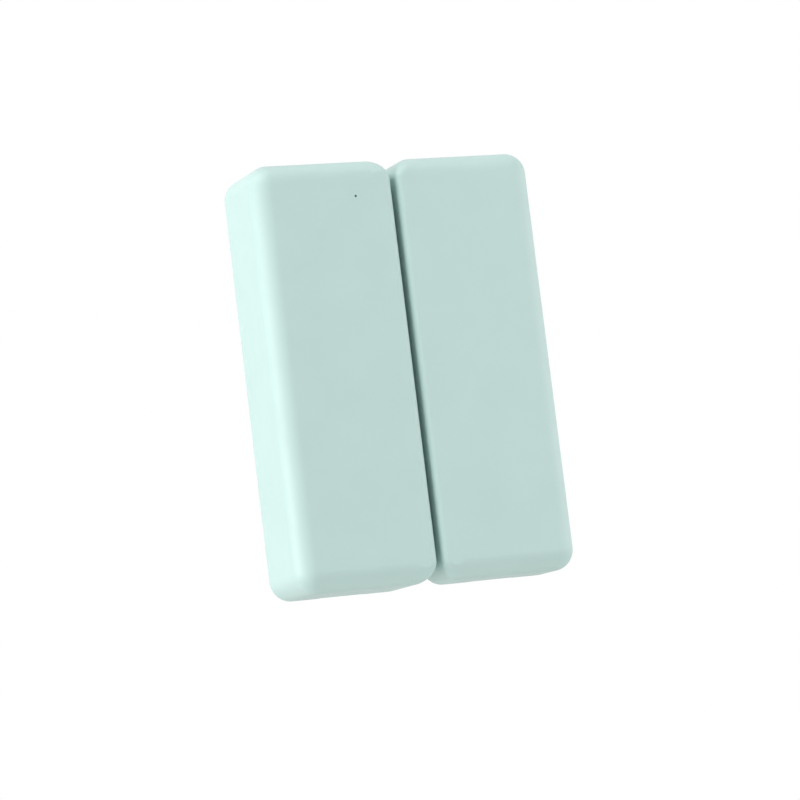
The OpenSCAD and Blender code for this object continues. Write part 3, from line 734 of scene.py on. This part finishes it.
tracks_to_pads = [
    (POWER, [(3.9, -11.2), (3.9, -12.0), (4.4, -12.5)]),
    (POWER, [(3.1, -30.7), (3.1, -26.6), (4.2, -25.5), (4.8, -25.1)]),
    (POWER, [(6.7, -13.2), (7.3, -13.8), (7.3, -16.4), (6.9, -16.9)]),
    (POWER, [(4.3, -17.0), (3.6, -17.7), (3.6, -19.2), (4.4, -20.0)]),
    (LINK, [(5.575, -22.6), (5.575, -23.6)]),
    (SIGNAL, [(4.6, 15.6), (4.6, 20.5), (2.2, 22.9), (2.2, 27.0)]),
    (SIGNAL, [(5.0, 15.6), (5.0, 21.0), (3.4, 22.6), (3.4, 27.0)]),
    (SIGNAL, [(5.4, 15.6), (5.4, 25.3), (6.2, 26.1), (6.2, 29.4)]),
    (FEED, [(7.0, 15.6), (8.75, 17.35), (8.75, 30.6), (8.3, 31.2)]),
    (SIGNAL, [(4.2, 15.6), (4.2, 19.2), (0.35, 23.05), (0.35, 26.8)]),
    (SIGNAL, [(5.8, 15.6), (5.8, 18.5), (8.2, 20.9), (8.2, 27.4)]),
    (SIGNAL, [(7.0, 11.9), (7.35, 11.55), (7.35, 10.6)]),
    (SIGNAL, [(7.35, -10.6), (7.35, -11.6), (8.5, -12.75), (8.5, -26.2), (7.4, -27.3)]),
]
tracks_to_vias = [
    (SIGNAL, [(4.6, 11.9), (4.6, 10.2), (3.4, 9.0), (2.7, 8.6)]),
    (SIGNAL, [(5.0, 11.9), (5.0, 7.2), (4.0, 6.2), (2.7, 6.0)]),
    (SIGNAL, [(5.4, 11.9), (5.4, 4.6), (4.2, 3.4), (2.7, 3.4)]),
    (SIGNAL, [(5.8, 11.9), (5.8, 1.6), (5.0, 0.8), (2.7, 0.8)]),
    (SIGNAL, [(6.2, 11.9), (6.2, -3.2), (5.0, -4.4), (2.7, -4.4)]),
    (SIGNAL, [(2.7, -8.6), (2.7, -10.6)]),
    (SIGNAL, [(-2.65, 26.8), (-2.65, 24.65), (-1.2, 23.2), (-1.2, 22.75)]),
    (SIGNAL, [(-3.0, 21.4), (-3.9, 22.3), (-3.9, 26.0), (-7.6, 29.7)]),
    (SIGNAL, [(0.6, 21.4), (2.0, 20.0)]),
    (POWER, [(3.1, 16.2), (2.7, 15.8), (2.7, 14.0)]),
    (SIGNAL, [(-8.45, 29.8), (-8.45, 27.0), (-7.9, 26.4)]),
]
more_vias = [(3.9, -11.2), (8.2, 24.0), (-5.0, 27.2), (1.6, 25.6), (7.4, -27.3)]
tracks = bmesh.new()
for width, route in tracks_to_pads + tracks_to_vias:
    add(tracks, ribbon(route, width, TOP - SUNK, TOP + TRACK_T))
for x, y in [route[-1] for width, route in tracks_to_vias] + more_vias:
    add(tracks, turned(washer(VIA_HOLE_R, VIA_R, 0, VIA_T, VIA_SLOPE), (x, y, TOP), steps=16))
piece("board_tracks", tracks, track, "sensor_unit")

bare_pads = bmesh.new()
for i in range(TEST_PADS):
    add(bare_pads, turned([
        (0, TEST_PAD_T), (TEST_PAD_R - 0.04, TEST_PAD_T), (TEST_PAD_R, 0.02),
        (TEST_PAD_R, -SUNK), (0, -SUNK),
    ], (TEST_X + TEST_PITCH * i, TEST_Y, TOP), steps=28))
for lo, hi in rooms("board_screws"):
    ring = washer(SCREW_HOLE_R, SCREW_PAD_R, -SUNK, SCREW_PAD_T, SCREW_PAD_SLOPE)
    add(bare_pads, turned(ring, ((lo.x + hi.x) / 2, (lo.y + hi.y) / 2, TOP)))
piece("board_bare_pads", bare_pads, gold, "sensor_unit")

printed = bmesh.new()
for lo, hi, gap in (
    (chip_lo, chip_hi, 0.42), (crystal_lo, crystal_hi, 0.22), (coil_lo, coil_hi, 0.32),
    (tantalum_lo, tantalum_hi, 0.42), (switch_lo, switch_hi, 0.16),
    (Vector((-4.0, 20.5, 0)), Vector((3.4, 22.3, 0)), 0),
):
    x0, y0, x1, y1 = lo.x - gap, lo.y - gap, hi.x + gap, hi.y + gap
    add(printed, ribbon([(x0, y0), (x1, y0), (x1, y1), (x0, y1)], INK_W, TOP, TOP + INK_T, closed=True))
for x, y in ((chip_lo.x - 0.75, chip_hi.y + 0.3), (-4.6, TEST_Y)):
    add(printed, turned(plug(DOT_R, 0, INK_T), (x, y, TOP), steps=20))
piece("board_printing", printed, ink, "sensor_unit")


# Screws

SHANK_R, THREAD_DEPTH, THREAD_PITCH, POINT = 0.85, 0.2, 0.4, 0.3
RECESS, RECESS_FOOT, RECESS_TURN = (1.7, 0.42, 1.2, 1), (0.55, 0.8), 25


def screw(lo, hi):
    """A pan-head screw with a cross recess, whose head sits on the board."""
    x, y = (lo.x + hi.x) / 2, (lo.y + hi.y) / 2
    r, top, root = (hi.x - lo.x) / 2, hi.z, SHANK_R - THREAD_DEPTH
    profile = [(0, lo.z), (SHANK_R - POINT, lo.z)]
    z = lo.z + POINT
    while z < TOP - 0.35:
        profile += [(root, z), (SHANK_R, z + 0.4 * THREAD_PITCH), (root, z + 0.8 * THREAD_PITCH)]
        z += THREAD_PITCH
    profile += [
        (root, TOP - 0.05), (r - 0.1, TOP), (r, TOP + 0.08), (r, TOP + 0.45), (r - 0.12, TOP + 0.75),
        (r - 0.4, top - 0.14), (r - 0.85, top - 0.02), (0, top),
    ]
    cross = []
    for turn in (RECESS_TURN, RECESS_TURN + 90):
        slot = bmesh.new()
        bmesh.ops.create_cube(slot, size=1, matrix=Matrix.Diagonal(RECESS))
        for vert in slot.verts:
            if vert.co.z < 0:
                vert.co.x *= RECESS_FOOT[0]
                vert.co.y *= RECESS_FOOT[1]
        slot.transform(placed(x, y, top + 0.02, turn))
        cross.append(("DIFFERENCE", slot))
    return carve(turned(profile, (x, y, 0), steps=48), cross)


screws = bmesh.new()
for lo, hi in rooms("board_screws"):
    add(screws, screw(lo, hi))
piece("board_pan_screws", screws, steel, "sensor_unit", "board_screws")


# Cell: heights run from its negative end

can_lo, can_hi = room("battery_can")
cell_lo, cell_hi = room("battery_sleeve")
seal_lo, seal_hi = room("battery_seal")
cap_lo, cap_hi = room("battery_negative_cap")
CELL = ((cell_lo.x + cell_hi.x) / 2, cell_lo.y, (cell_lo.z + cell_hi.z) / 2)
CELL_R, CAN_R = (cell_hi.x - cell_lo.x) / 2, (can_hi.x - can_lo.x) / 2
SEAL_R, CAP_R = (seal_hi.x - seal_lo.x) / 2, (cap_hi.x - cap_lo.x) / 2
CELL_L, FILM_TOP = can_hi.y - cell_lo.y, cell_hi.y - cell_lo.y
SHOULDER, NUB_R = CELL_L - 1.1, 1.9
STRIPE, BAND = FILM_TOP - 9.0, FILM_TOP - 7.4
STRIPE_W, FILM_INSIDE_R, SEAL_INSIDE_R = 0.7, CELL_R - 0.19, CAP_R + 0.05


def along_cell(profile):
    return turned(profile, CELL, steps=72, along_y=True)


piece("cell_can", along_cell([
    (0, 0.55), (CAN_R - 0.1, 0.55), (CAN_R, 0.65), (CAN_R, SHOULDER - 0.5),
    (CAN_R - 0.12, SHOULDER - 0.18), (CAN_R - 0.4, SHOULDER), (3.1, SHOULDER), (2.9, SHOULDER - 0.12),
    (2.5, SHOULDER - 0.12), (2.3, SHOULDER), (NUB_R + 0.2, SHOULDER), (NUB_R + 0.02, SHOULDER + 0.18),
    (NUB_R, SHOULDER + 0.8), (NUB_R - 0.1, CELL_L - 0.08), (NUB_R - 0.3, CELL_L), (0, CELL_L),
]), steel, "sensor_unit", "battery_can")

sleeve = bmesh.new()
for slot, profile in (
    (0, [(FILM_INSIDE_R, 0.02), (CELL_R - 0.06, 0), (CELL_R, 0.1), (CELL_R, STRIPE)]),
    (1, [(CELL_R, STRIPE), (CELL_R, STRIPE + STRIPE_W)]),
    (0, [(CELL_R, STRIPE + STRIPE_W), (CELL_R, BAND)]),
    (1, [
        (CELL_R, BAND), (CELL_R, FILM_TOP - 0.35), (CELL_R - 0.05, FILM_TOP - 0.05),
        (CELL_R - 0.2, FILM_TOP + 0.3), (CELL_R - 0.55, FILM_TOP + 0.47), (CELL_R - 1.2, FILM_TOP + 0.49),
        (CELL_R - 1.2, FILM_TOP + 0.43), (CELL_R - 0.6, FILM_TOP + 0.42), (FILM_INSIDE_R, FILM_TOP - 0.1),
    ]),
    (0, [(FILM_INSIDE_R, FILM_TOP - 0.1), (FILM_INSIDE_R, 0.02)]),
):
    add(sleeve, along_cell(profile), slot)
weld_points(sleeve)
piece("cell_sleeve", outward(sleeve), [film, band], "sensor_unit", "battery_sleeve")

piece("cell_seal", along_cell([
    (SEAL_INSIDE_R, 0.06), (CAP_R + 0.3, 0.1), (SEAL_R - 0.4, 0.12), (SEAL_R, 0.2), (SEAL_R, 0.5),
    (SEAL_INSIDE_R, 0.5), (SEAL_INSIDE_R, 0.06),
]), seal, "sensor_unit", "battery_seal")
piece("cell_negative_cap", along_cell([
    (0, 0.08), (CAP_R - 1.3, 0.08), (CAP_R - 1.0, 0.02), (CAP_R - 0.25, 0), (CAP_R - 0.06, 0.06),
    (CAP_R, 0.2), (CAP_R, 0.5), (0, 0.5),
]), steel, "sensor_unit", "battery_negative_cap")


# Contacts and spring

for sign in ("positive", "negative"):
    node = f"{sign}_contact"
    piece(f"{sign}_contact_plate", refined(node, bevel=0.06), tin, "sensor_unit", node)

STEPS_PER_TURN = 28
spring_y = room("negative_spring")[0].y
spring_steps = int(STEPS_PER_TURN * SPRING_TURNS)
coils = []
for i in range(spring_steps + 1):
    t = i / spring_steps
    r = (SPRING_WIDE + (SPRING_NARROW - SPRING_WIDE) * t) / 2
    c, s = polar(360 * SPRING_TURNS * t)
    coils.append((CELL[0] + r * c, spring_y + WIRE_D / 2 + (SPRING_L - WIRE_D) * t, CELL[2] - r * s))
spring = swept(coils, WIRE_D / 2, sides=12)
piece("contact_spring", spring, steel, "sensor_unit", "negative_spring")


# Reed switch: heights run from the middle of its tube

reed_lo, reed_hi = room("reed_glass")
REED_R, REED_HALF = (reed_hi.x - reed_lo.x) / 2, (reed_hi.y - reed_lo.y) / 2
REED = (reed_lo + reed_hi) / 2
BLADE_HOLE_R = 0.28
tube_end = [
    (BLADE_HOLE_R, -REED_HALF), (0.6, 0.03 - REED_HALF), (0.85, 0.2 - REED_HALF),
    (REED_R - 0.02, 0.55 - REED_HALF), (REED_R, 0.9 - REED_HALF),
]
hollow_end = [(BLADE_HOLE_R, 1.2 - REED_HALF), (0.5, 1.5 - REED_HALF), (REED_R - 0.25, 2.4 - REED_HALF)]
profile = tube_end + [(r, -h) for r, h in reversed(tube_end)]
profile += [(r, -h) for r, h in hollow_end] + hollow_end[::-1] + tube_end[:1]
tube = turned(profile, REED, along_y=True)
piece("reed_tube", tube, glass, "sensor_unit", "reed_glass", sharp=50)
for node, body in (
    ("reed_fixed_blade", "sensor_unit"), ("reed_lead", "sensor_unit"), ("reed_moving_blade", "reed_blade"),
):
    wire = refined(node, bevel=0.02, segments=1, least=60)
    piece(f"{node}_wire", wire, steel, body, node)

# All solder goes into joints; here it is round the reed switch's leads and beside the contacts' feet
FOOT_X = 3.1
joints = bmesh.new()
cone = [(0, 0), (0.8, 0), (0.72, 0.05), (0.5, 0.14), (0.34, 0.36), (0.25, 0.62), (0, 0.62)]
for up in (-1, 1):
    add(joints, turned(cone, (REED.x, REED.y + up * LEAD_SPAN / 2, TOP), steps=28))
for y in (room("positive_contact")[0].y + FOOT_L / 2, room("negative_contact")[1].y - FOOT_L / 2):
    for side, turn in ((1, 0), (-1, 180)):
        add(joints, fillet(FOOT_X + side * FOOT_W / 2, y, turn, width=1.3, reach=0.35, rise=0.24))


# Chips and small parts

ALONG_X, ALONG_Y = 0, 1
LEGS_A_SIDE, LEG_PITCH, DIMPLE_IN = 8, 0.4, 0.6
SEAM, CAP_EDGE, FRAME_H, DIMPLE_OVER, DIMPLE_SLOPE = 0.02, 0.06, 0.26, 0.1, 0.04


def dimpled(bm, x, y, top, r, depth, steps):
    """A chip with the shallow mark of its first leg in its top."""
    mark = plug(r, top - depth, top + DIMPLE_OVER, r + DIMPLE_SLOPE)
    return carve(bm, [("DIFFERENCE", turned(mark, (x, y, 0), steps))])


def capped(lo, hi, axis, cap, bevel):
    """A chip part: its body, and in slot 1 a plated cap at each end along an axis."""
    inset = Vector((SEAM, SEAM, SEAM))
    inset[axis] = 0.6 * cap
    foot = lo + inset
    foot.z = lo.z + SEAM / 2
    bm = block(foot, hi - inset, SEAM)
    for near, far in ((lo, hi), (hi, lo)):
        end = far.copy()
        end[axis] = near[axis] + math.copysign(cap, far[axis] - near[axis])
        add(bm, block(near, end, bevel, segments=3), 1)
    return bm


def end_fillets(lo, hi, axis, rise):
    """Solder at both ends of a part along an axis."""
    mid = (lo + hi) / 2
    width = 0.95 * (hi - lo)[1 - axis]
    for end, turn in ((hi, 90 * axis), (lo, 90 * axis + 180)):
        x, y = (mid.x, end.y) if axis else (end.x, mid.y)
        add(joints, fillet(x, y, turn, width, reach=0.35, rise=rise))


chip_mid = (chip_lo + chip_hi) / 2
chip = block(chip_lo, chip_hi, bevel=0.05)
chip = dimpled(chip, chip_lo.x + DIMPLE_IN, chip_hi.y - DIMPLE_IN, chip_hi.z, r=0.22, depth=0.05, steps=24)
for k in range(LEGS_A_SIDE):
    d = LEG_PITCH * (k - (LEGS_A_SIDE - 1) / 2)
    for x, y, turn in (
        (chip_hi.x, chip_mid.y + d, 0), (chip_mid.x + d, chip_hi.y, 90),
        (chip_lo.x, chip_mid.y + d, 180), (chip_mid.x + d, chip_lo.y, 270),
    ):
        add(joints, fillet(x, y, turn, width=0.22, reach=0.28, rise=0.24))
piece("radio_chip_body", chip, resin, "sensor_unit", "radio_chip")

CRYSTAL_BASE_H, LID_INSET, CRYSTAL_PAD_AT = 0.3, 0.12, 0.75
lid_z, crystal_top = crystal_lo.z + CRYSTAL_BASE_H - SEAM, crystal_hi.z
crystal = block(crystal_lo, (crystal_hi.x, crystal_hi.y, crystal_lo.z + CRYSTAL_BASE_H), bevel=0.03)
add(crystal, slab(crystal_lo, crystal_hi, r=0.3, levels=[
    (lid_z, -0.06), (lid_z + 0.06, -0.06), (lid_z + 0.07, 0),
    (crystal_top - 0.1, 0.02), (crystal_top - 0.03, 0.06), (crystal_top, 0.14),
], inset=(LID_INSET, LID_INSET), steps=6), 1)
for side in (-1, 1):
    x = (crystal_lo.x + crystal_hi.x) / 2 + side * CRYSTAL_PAD_AT
    for y, turn in ((crystal_hi.y, 90), (crystal_lo.y, 270)):
        add(joints, fillet(x, y, turn, width=0.6, reach=0.3, rise=0.22))
piece("crystal_can", crystal, [ceramic, tin], "sensor_unit", "crystal")

for name, node, mat, slot, cap in (
    ("capacitor_chips", "chip_capacitors", brown, "capacitor", 0.34),
    ("resistor_chips", "chip_resistors", resin, "resin", 0.3),
):
    chips = bmesh.new()
    for lo, hi in rooms(node):
        add(chips, capped(lo, hi, ALONG_Y, cap, CAP_EDGE))
        end_fillets(lo, hi, ALONG_Y, rise=0.6 * (hi.z - lo.z))
    piece(name, chips, [mat, tin], "sensor_unit", node)

ZIGZAG_PITCH, ZIGZAG_REACH, ZIGZAG_LINES, ZIGZAG_FROM = 0.42, 0.62, 9, 0.9
antenna = capped(antenna_lo, antenna_hi, ALONG_X, cap=0.55, bevel=CAP_EDGE)
zigzag = []
for k in range(ZIGZAG_LINES):
    x = antenna_lo.x + ZIGZAG_FROM + ZIGZAG_PITCH * k
    y = (antenna_lo.y + antenna_hi.y) / 2
    reach = ZIGZAG_REACH if k % 2 else -ZIGZAG_REACH
    zigzag += [(x, y + reach), (x, y - reach)]
add(antenna, ribbon(zigzag, 0.16, antenna_hi.z - 0.03, antenna_hi.z + 0.01), 1)
end_fillets(antenna_lo, antenna_hi, ALONG_X, rise=0.5)
piece("antenna_chip", antenna, [ceramic, tin], "sensor_unit", "chip_antenna")

led_frame_hi = Vector((led_hi.x, led_hi.y, led_lo.z + FRAME_H))
led = capped(led_lo, led_frame_hi, ALONG_X, cap=0.28, bevel=0.03)
add(led, slab(led_lo, led_hi, r=0.24, levels=[
    (led_frame_hi.z - SEAM, 0), (led_hi.z - 0.08, 0.05), (led_hi.z - 0.02, 0.09), (led_hi.z, 0.16),
], inset=(0.25, 0.03)), 2)
end_fillets(led_lo, led_frame_hi, ALONG_X, rise=0.2)
piece("indicator_led", led, [ceramic, gold, lens], "sensor_unit", "status_led")


# Pairing switch

RIVET_AT, SWITCH_LEG_AT, SWITCH_LEG_W, SWITCH_LEG_T = 1.75, 1.5, 0.7, 0.15
switch_mid = (switch_lo + switch_hi) / 2
housing = refined("switch_housing", bevel=0.08)
piece("switch_body", housing, resin, "sensor_unit", "switch_housing")

plate = refined("switch_plate", bevel=0.03)
plate_top = room("switch_plate")[1].z
rivet = [(0, -0.02), (0.32, -0.02), (0.3, 0.05), (0.18, 0.1), (0, 0.11)]
leg = [
    (-0.1, 0.95), (0.06, 0.95), (0.14, 0.9), (0.17, 0.8),
    (0.17, 0.2), (0.2, 0.1), (0.28, 0.05), (0.8, 0.05),
]
legs = bmesh.new()
for side in (-1, 1):
    for up in (-1, 1):
        x, y = switch_mid.x + side * RIVET_AT, switch_mid.y + up * RIVET_AT
        add(plate, turned(rivet, (x, y, plate_top), steps=20), 1)
        x, y = switch_mid.x + side * SWITCH_LEG_AT, switch_mid.y + up * (switch_hi.y - switch_mid.y)
        add(legs, strap(leg, SWITCH_LEG_W, SWITCH_LEG_T, placed(x, y, TOP - 0.04, 90 * up)))
        add(joints, fillet(x, y + up * 0.78, 90 * up, width=0.66, reach=0.2, rise=0.14))
piece("switch_cover_plate", plate, [tin, resin], "sensor_unit", "switch_plate")
piece("switch_gull_legs", legs, tin, "sensor_unit", "switch_legs")

knob_lo, knob_hi = room("pairing_button")
knob_r, knob_foot, knob_top = (knob_hi.x - knob_lo.x) / 2, knob_lo.z, knob_hi.z
knob = turned([
    (0, knob_foot), (knob_r - 0.05, knob_foot), (knob_r, knob_foot + 0.05), (knob_r, knob_top - 0.22),
    (knob_r - 0.06, knob_top - 0.09), (knob_r - 0.2, knob_top - 0.02), (knob_r - 0.45, knob_top),
    (knob_r - 0.7, knob_top - 0.04), (0, knob_top - 0.05),
], (switch_mid.x, switch_mid.y, 0), steps=48)
piece("pairing_button_cap", knob, button_white, "button", "pairing_button")


# Power supply

FLANGE_T, CORE_R, WINDING_R, WIRE_PITCH = 0.42, 0.9, 1.3, 0.12
coil_mid = (coil_lo + coil_hi) / 2
drum = bmesh.new()
for z0, z1 in ((coil_lo.z, coil_lo.z + FLANGE_T), (coil_hi.z - FLANGE_T, coil_hi.z)):
    levels = [(z0, 0.05), (z0 + 0.05, 0), (z1 - 0.06, 0), (z1, 0.06)]
    add(drum, slab(coil_lo, coil_hi, r=0.55, levels=levels), 0)
z, z1 = coil_lo.z + FLANGE_T - SEAM, coil_hi.z - FLANGE_T + SEAM
turns = [(0, z), (CORE_R, z)]
while z < z1 - 0.1:
    turns += [(WINDING_R - 0.08, z + 0.01), (WINDING_R, z + 0.06), (WINDING_R - 0.08, z + 0.11)]
    z += WIRE_PITCH
turns += [(CORE_R, z1), (0, z1)]
add(drum, turned(turns, (coil_mid.x, coil_mid.y, 0)), 1)
end_fillets(coil_lo, coil_hi, ALONG_X, rise=0.3)
piece("boost_drum_coil", drum, [ferrite, copper], "sensor_unit", "boost_coil")

reg_lo, reg_hi = room("boost_regulator")
reg_mid = (reg_lo + reg_hi) / 2
regulator = slab(reg_lo, reg_hi, r=0.22, levels=[
    (reg_lo.z + 0.05, 0.09), (reg_lo.z + 0.5, 0), (reg_lo.z + 0.56, 0),
    (reg_hi.z - 0.04, 0.1), (reg_hi.z, 0.14),
], inset=((reg_hi.x - reg_lo.x - REGULATOR_W) / 2, 0))
regulator = dimpled(regulator, reg_lo.x + 0.95, reg_hi.y - 0.5, reg_hi.z, r=0.16, depth=0.04, steps=20)
leg = [
    (-0.1, 0.45), (0.08, 0.45), (0.15, 0.42), (0.19, 0.34),
    (0.24, 0.1), (0.29, 0.05), (0.36, 0.03), (0.6, 0.03),
]
for k in (-1, 0, 1):
    y = reg_mid.y + REGULATOR_PITCH * k
    for side, turn in ((1, 0), (-1, 180)):
        x = reg_mid.x + side * REGULATOR_W / 2
        where = placed(x, y, TOP - SEAM, turn)
        add(regulator, strap(leg, width=0.4, thick=0.12, where=where), 1)
        add(joints, fillet(x + 0.58 * side, y, turn, width=0.4, reach=0.2, rise=0.11))
piece("boost_regulator_chip", regulator, [resin, tin], "sensor_unit", "boost_regulator")

TANTALUM_INSET, BAR_INSET, BAR_FROM, BAR_TO = 0.1, 0.2, 0.75, 0.25
tant_mid, tant_top = (tantalum_lo + tantalum_hi) / 2, tantalum_hi.z
tantalum = slab(tantalum_lo, tantalum_hi, r=0.28, levels=[
    (tantalum_lo.z + 0.1, 0.1), (tantalum_lo.z + 0.95, 0), (tantalum_lo.z + 1.0, 0),
    (tant_top - 0.06, 0.1), (tant_top, 0.17),
], inset=(0, TANTALUM_INSET))
bar_end = tantalum_hi.y - TANTALUM_INSET
add(tantalum, block(
    (tantalum_lo.x + BAR_INSET, bar_end - BAR_FROM, tant_top - 0.02),
    (tantalum_hi.x - BAR_INSET, bar_end - BAR_TO, tant_top + 0.008),
), 2)
tab = [(-0.5, 0.02), (0, 0.02), (0.07, 0.04), (0.1, 0.1), (0.09, 0.88), (0.05, 0.94), (-0.05, 0.95)]
for y, turn in ((tantalum_lo.y + TANTALUM_INSET, -90), (bar_end, 90)):
    where = placed(tant_mid.x, y, TOP, turn)
    add(tantalum, strap(tab, width=2.1, thick=0.1, where=where), 1)
tabs_lo = Vector((tant_mid.x - 1.1, tantalum_lo.y - 0.02, TOP))
tabs_hi = Vector((tant_mid.x + 1.1, tantalum_hi.y + 0.02, TOP))
end_fillets(tabs_lo, tabs_hi, ALONG_Y, rise=0.45)
piece("storage_tantalum", tantalum, [amber, tin, amber_bar], "sensor_unit", "storage_capacitor")

piece("solder_joints", joints, solder, "sensor_unit")


# Magnet and light pipe

magnet = refined("bar_magnet", bevel=0.3, segments=3)
piece("bar_magnet_block", magnet, ferrite, "magnet_unit", "bar_magnet")

pipe_lo, pipe_hi = room("light_pipe")
pipe_r, tip_r, pipe_shoulder = (pipe_hi.x - pipe_lo.x) / 2, PIN_D / 2 - PIPE_FIT, CAVITY_Z - PIPE_FIT
pipe = turned([
    (0, pipe_lo.z), (pipe_r - 0.12, pipe_lo.z), (pipe_r, pipe_lo.z + 0.12), (pipe_r, pipe_shoulder - 0.1),
    (pipe_r - 0.1, pipe_shoulder), (tip_r + 0.05, pipe_shoulder), (tip_r, pipe_shoulder + 0.05),
    (tip_r, pipe_hi.z - 0.08), (tip_r - 0.06, pipe_hi.z - 0.02), (0, pipe_hi.z),
], PIN, steps=32)
piece("light_pipe_rod", pipe, clear, "cover", "light_pipe")


# Camera, fitted to the photograph: its turn round the upright axis, its slope and its roll, in radians

CAMERA_TURN, CAMERA_SLOPE, CAMERA_ROLL = 0.37659, -0.10835, -0.12188
CAMERA_AIM, CAMERA_AWAY = Vector((0.01226, -0.008, -0.00431)), 0.58848
FOCAL_PX, FRAME_PX, SENSOR_MM = 3477.2, 800, 36
camera = bpy.data.cameras.new("camera")
camera.sensor_width = SENSOR_MM
camera.lens = SENSOR_MM * FOCAL_PX / FRAME_PX
camera.clip_start = 0.01
eye = bpy.data.objects.new("camera", camera)
facing = Matrix.Rotation(-CAMERA_TURN, 4, "Z") @ Matrix.Rotation(math.pi / 2 - CAMERA_SLOPE, 4, "X")
facing = facing @ Matrix.Rotation(CAMERA_ROLL, 4, "Z")
eye.matrix_world = Matrix.Translation(CAMERA_AIM) @ facing @ Matrix.Translation((0, 0, CAMERA_AWAY))
scene.collection.objects.link(eye)
scene.camera = eye


# Studio: lamps as name, place and size in metres, and watts

scene.view_settings.view_transform = "Standard"
LAMP_AIM = Vector((0.0128, -0.008, 0.0))
LAMPS = (
    ("left", (-0.75, -0.12, -0.03), (0.5, 0.2), 1.95),
    ("left_rear", (-0.75, 0.15, 0.0), (0.4, 0.24), 1.15),
    ("top_left", (-0.5, -0.2, 0.6), (0.5, 0.5), 3.2),
    ("top", (0.05, -0.15, 0.85), (0.6, 0.6), 1.85),
    ("right", (0.8, -0.15, 0.1), (0.5, 0.45), 1.63),
    ("right_front", (0.55, -0.75, 0.15), (0.5, 0.5), 1.98),
)
for name, place, size, watts in LAMPS:
    light = bpy.data.lights.new(name, "AREA")
    light.shape = "RECTANGLE"
    light.size, light.size_y = size
    light.energy = watts
    lamp = bpy.data.objects.new(name, light)
    lamp.location = place
    lamp.rotation_euler = (LAMP_AIM - Vector(place)).to_track_quat("-Z", "Y").to_euler()
    scene.collection.objects.link(lamp)


def backdrop_mix(tree, shader, out, share=None):
    """White to the camera and in reflections, in the given share, and otherwise the given shader."""
    rays = new_node(tree, "ShaderNodeLightPath").outputs
    seen = rays["Is Camera Ray"]
    for ray in ("Is Glossy Ray", "Is Transmission Ray"):
        both = {0: seen, 1: rays[ray]}
        seen = new_node(tree, "ShaderNodeMath", links=both, operation="MAXIMUM").outputs[0]
    if share:
        both = {0: seen, 1: share}
        seen = new_node(tree, "ShaderNodeMath", links=both, operation="MULTIPLY").outputs[0]
    kind = "ShaderNodeBackground" if out.type == "OUTPUT_WORLD" else "ShaderNodeEmission"
    white = new_node(tree, kind, {"Color": WHITE, "Strength": 1.0})
    mix = new_node(tree, "ShaderNodeMixShader", links={"Fac": seen, 1: shader, 2: white.outputs[0]})
    tree.links.new(mix.outputs[0], out.inputs["Surface"])


# The world's strength, then the floor's half width, its height and where it fades to white, in metres
AIR_STRENGTH = 0.3
FLOOR_HALF, FLOOR_Z, FADE_FROM, FADE_TO = 0.8, -0.14, 0.2, 0.75
world = bpy.data.worlds.new("studio")
scene.world = world
world.use_nodes = True
air = world.node_tree.nodes["Background"]
air.inputs["Color"].default_value = WHITE
air.inputs["Strength"].default_value = AIR_STRENGTH
backdrop_mix(world.node_tree, air.outputs[0], world.node_tree.nodes["World Output"])

floor_grid = bmesh.new()
floor_place = Matrix.Translation((0, 0, FLOOR_Z))
bmesh.ops.create_grid(floor_grid, x_segments=8, y_segments=8, size=FLOOR_HALF, matrix=floor_place)
floor = mesh_object("floor", floor_grid)
paper = plastic("floor_paper", (236, 236, 234), (0.7, 0.8), grain=1.5, depth=0.004, drift=0.004)
floor.data.materials.append(paper)
tree, nodes = paper.node_tree, paper.node_tree.nodes
spot = nodes["Texture Coordinate"].outputs["Object"]
away = new_node(tree, "ShaderNodeVectorMath", links={0: spot}, operation="LENGTH").outputs["Value"]
fade = new_node(
    tree, "ShaderNodeMapRange", {"From Min": FADE_FROM, "From Max": FADE_TO}, {"Value": away},
    interpolation_type="SMOOTHSTEP",
)
paper_shader = nodes["Principled BSDF"].outputs[0]
backdrop_mix(tree, paper_shader, nodes["Material Output"], fade.outputs["Result"])
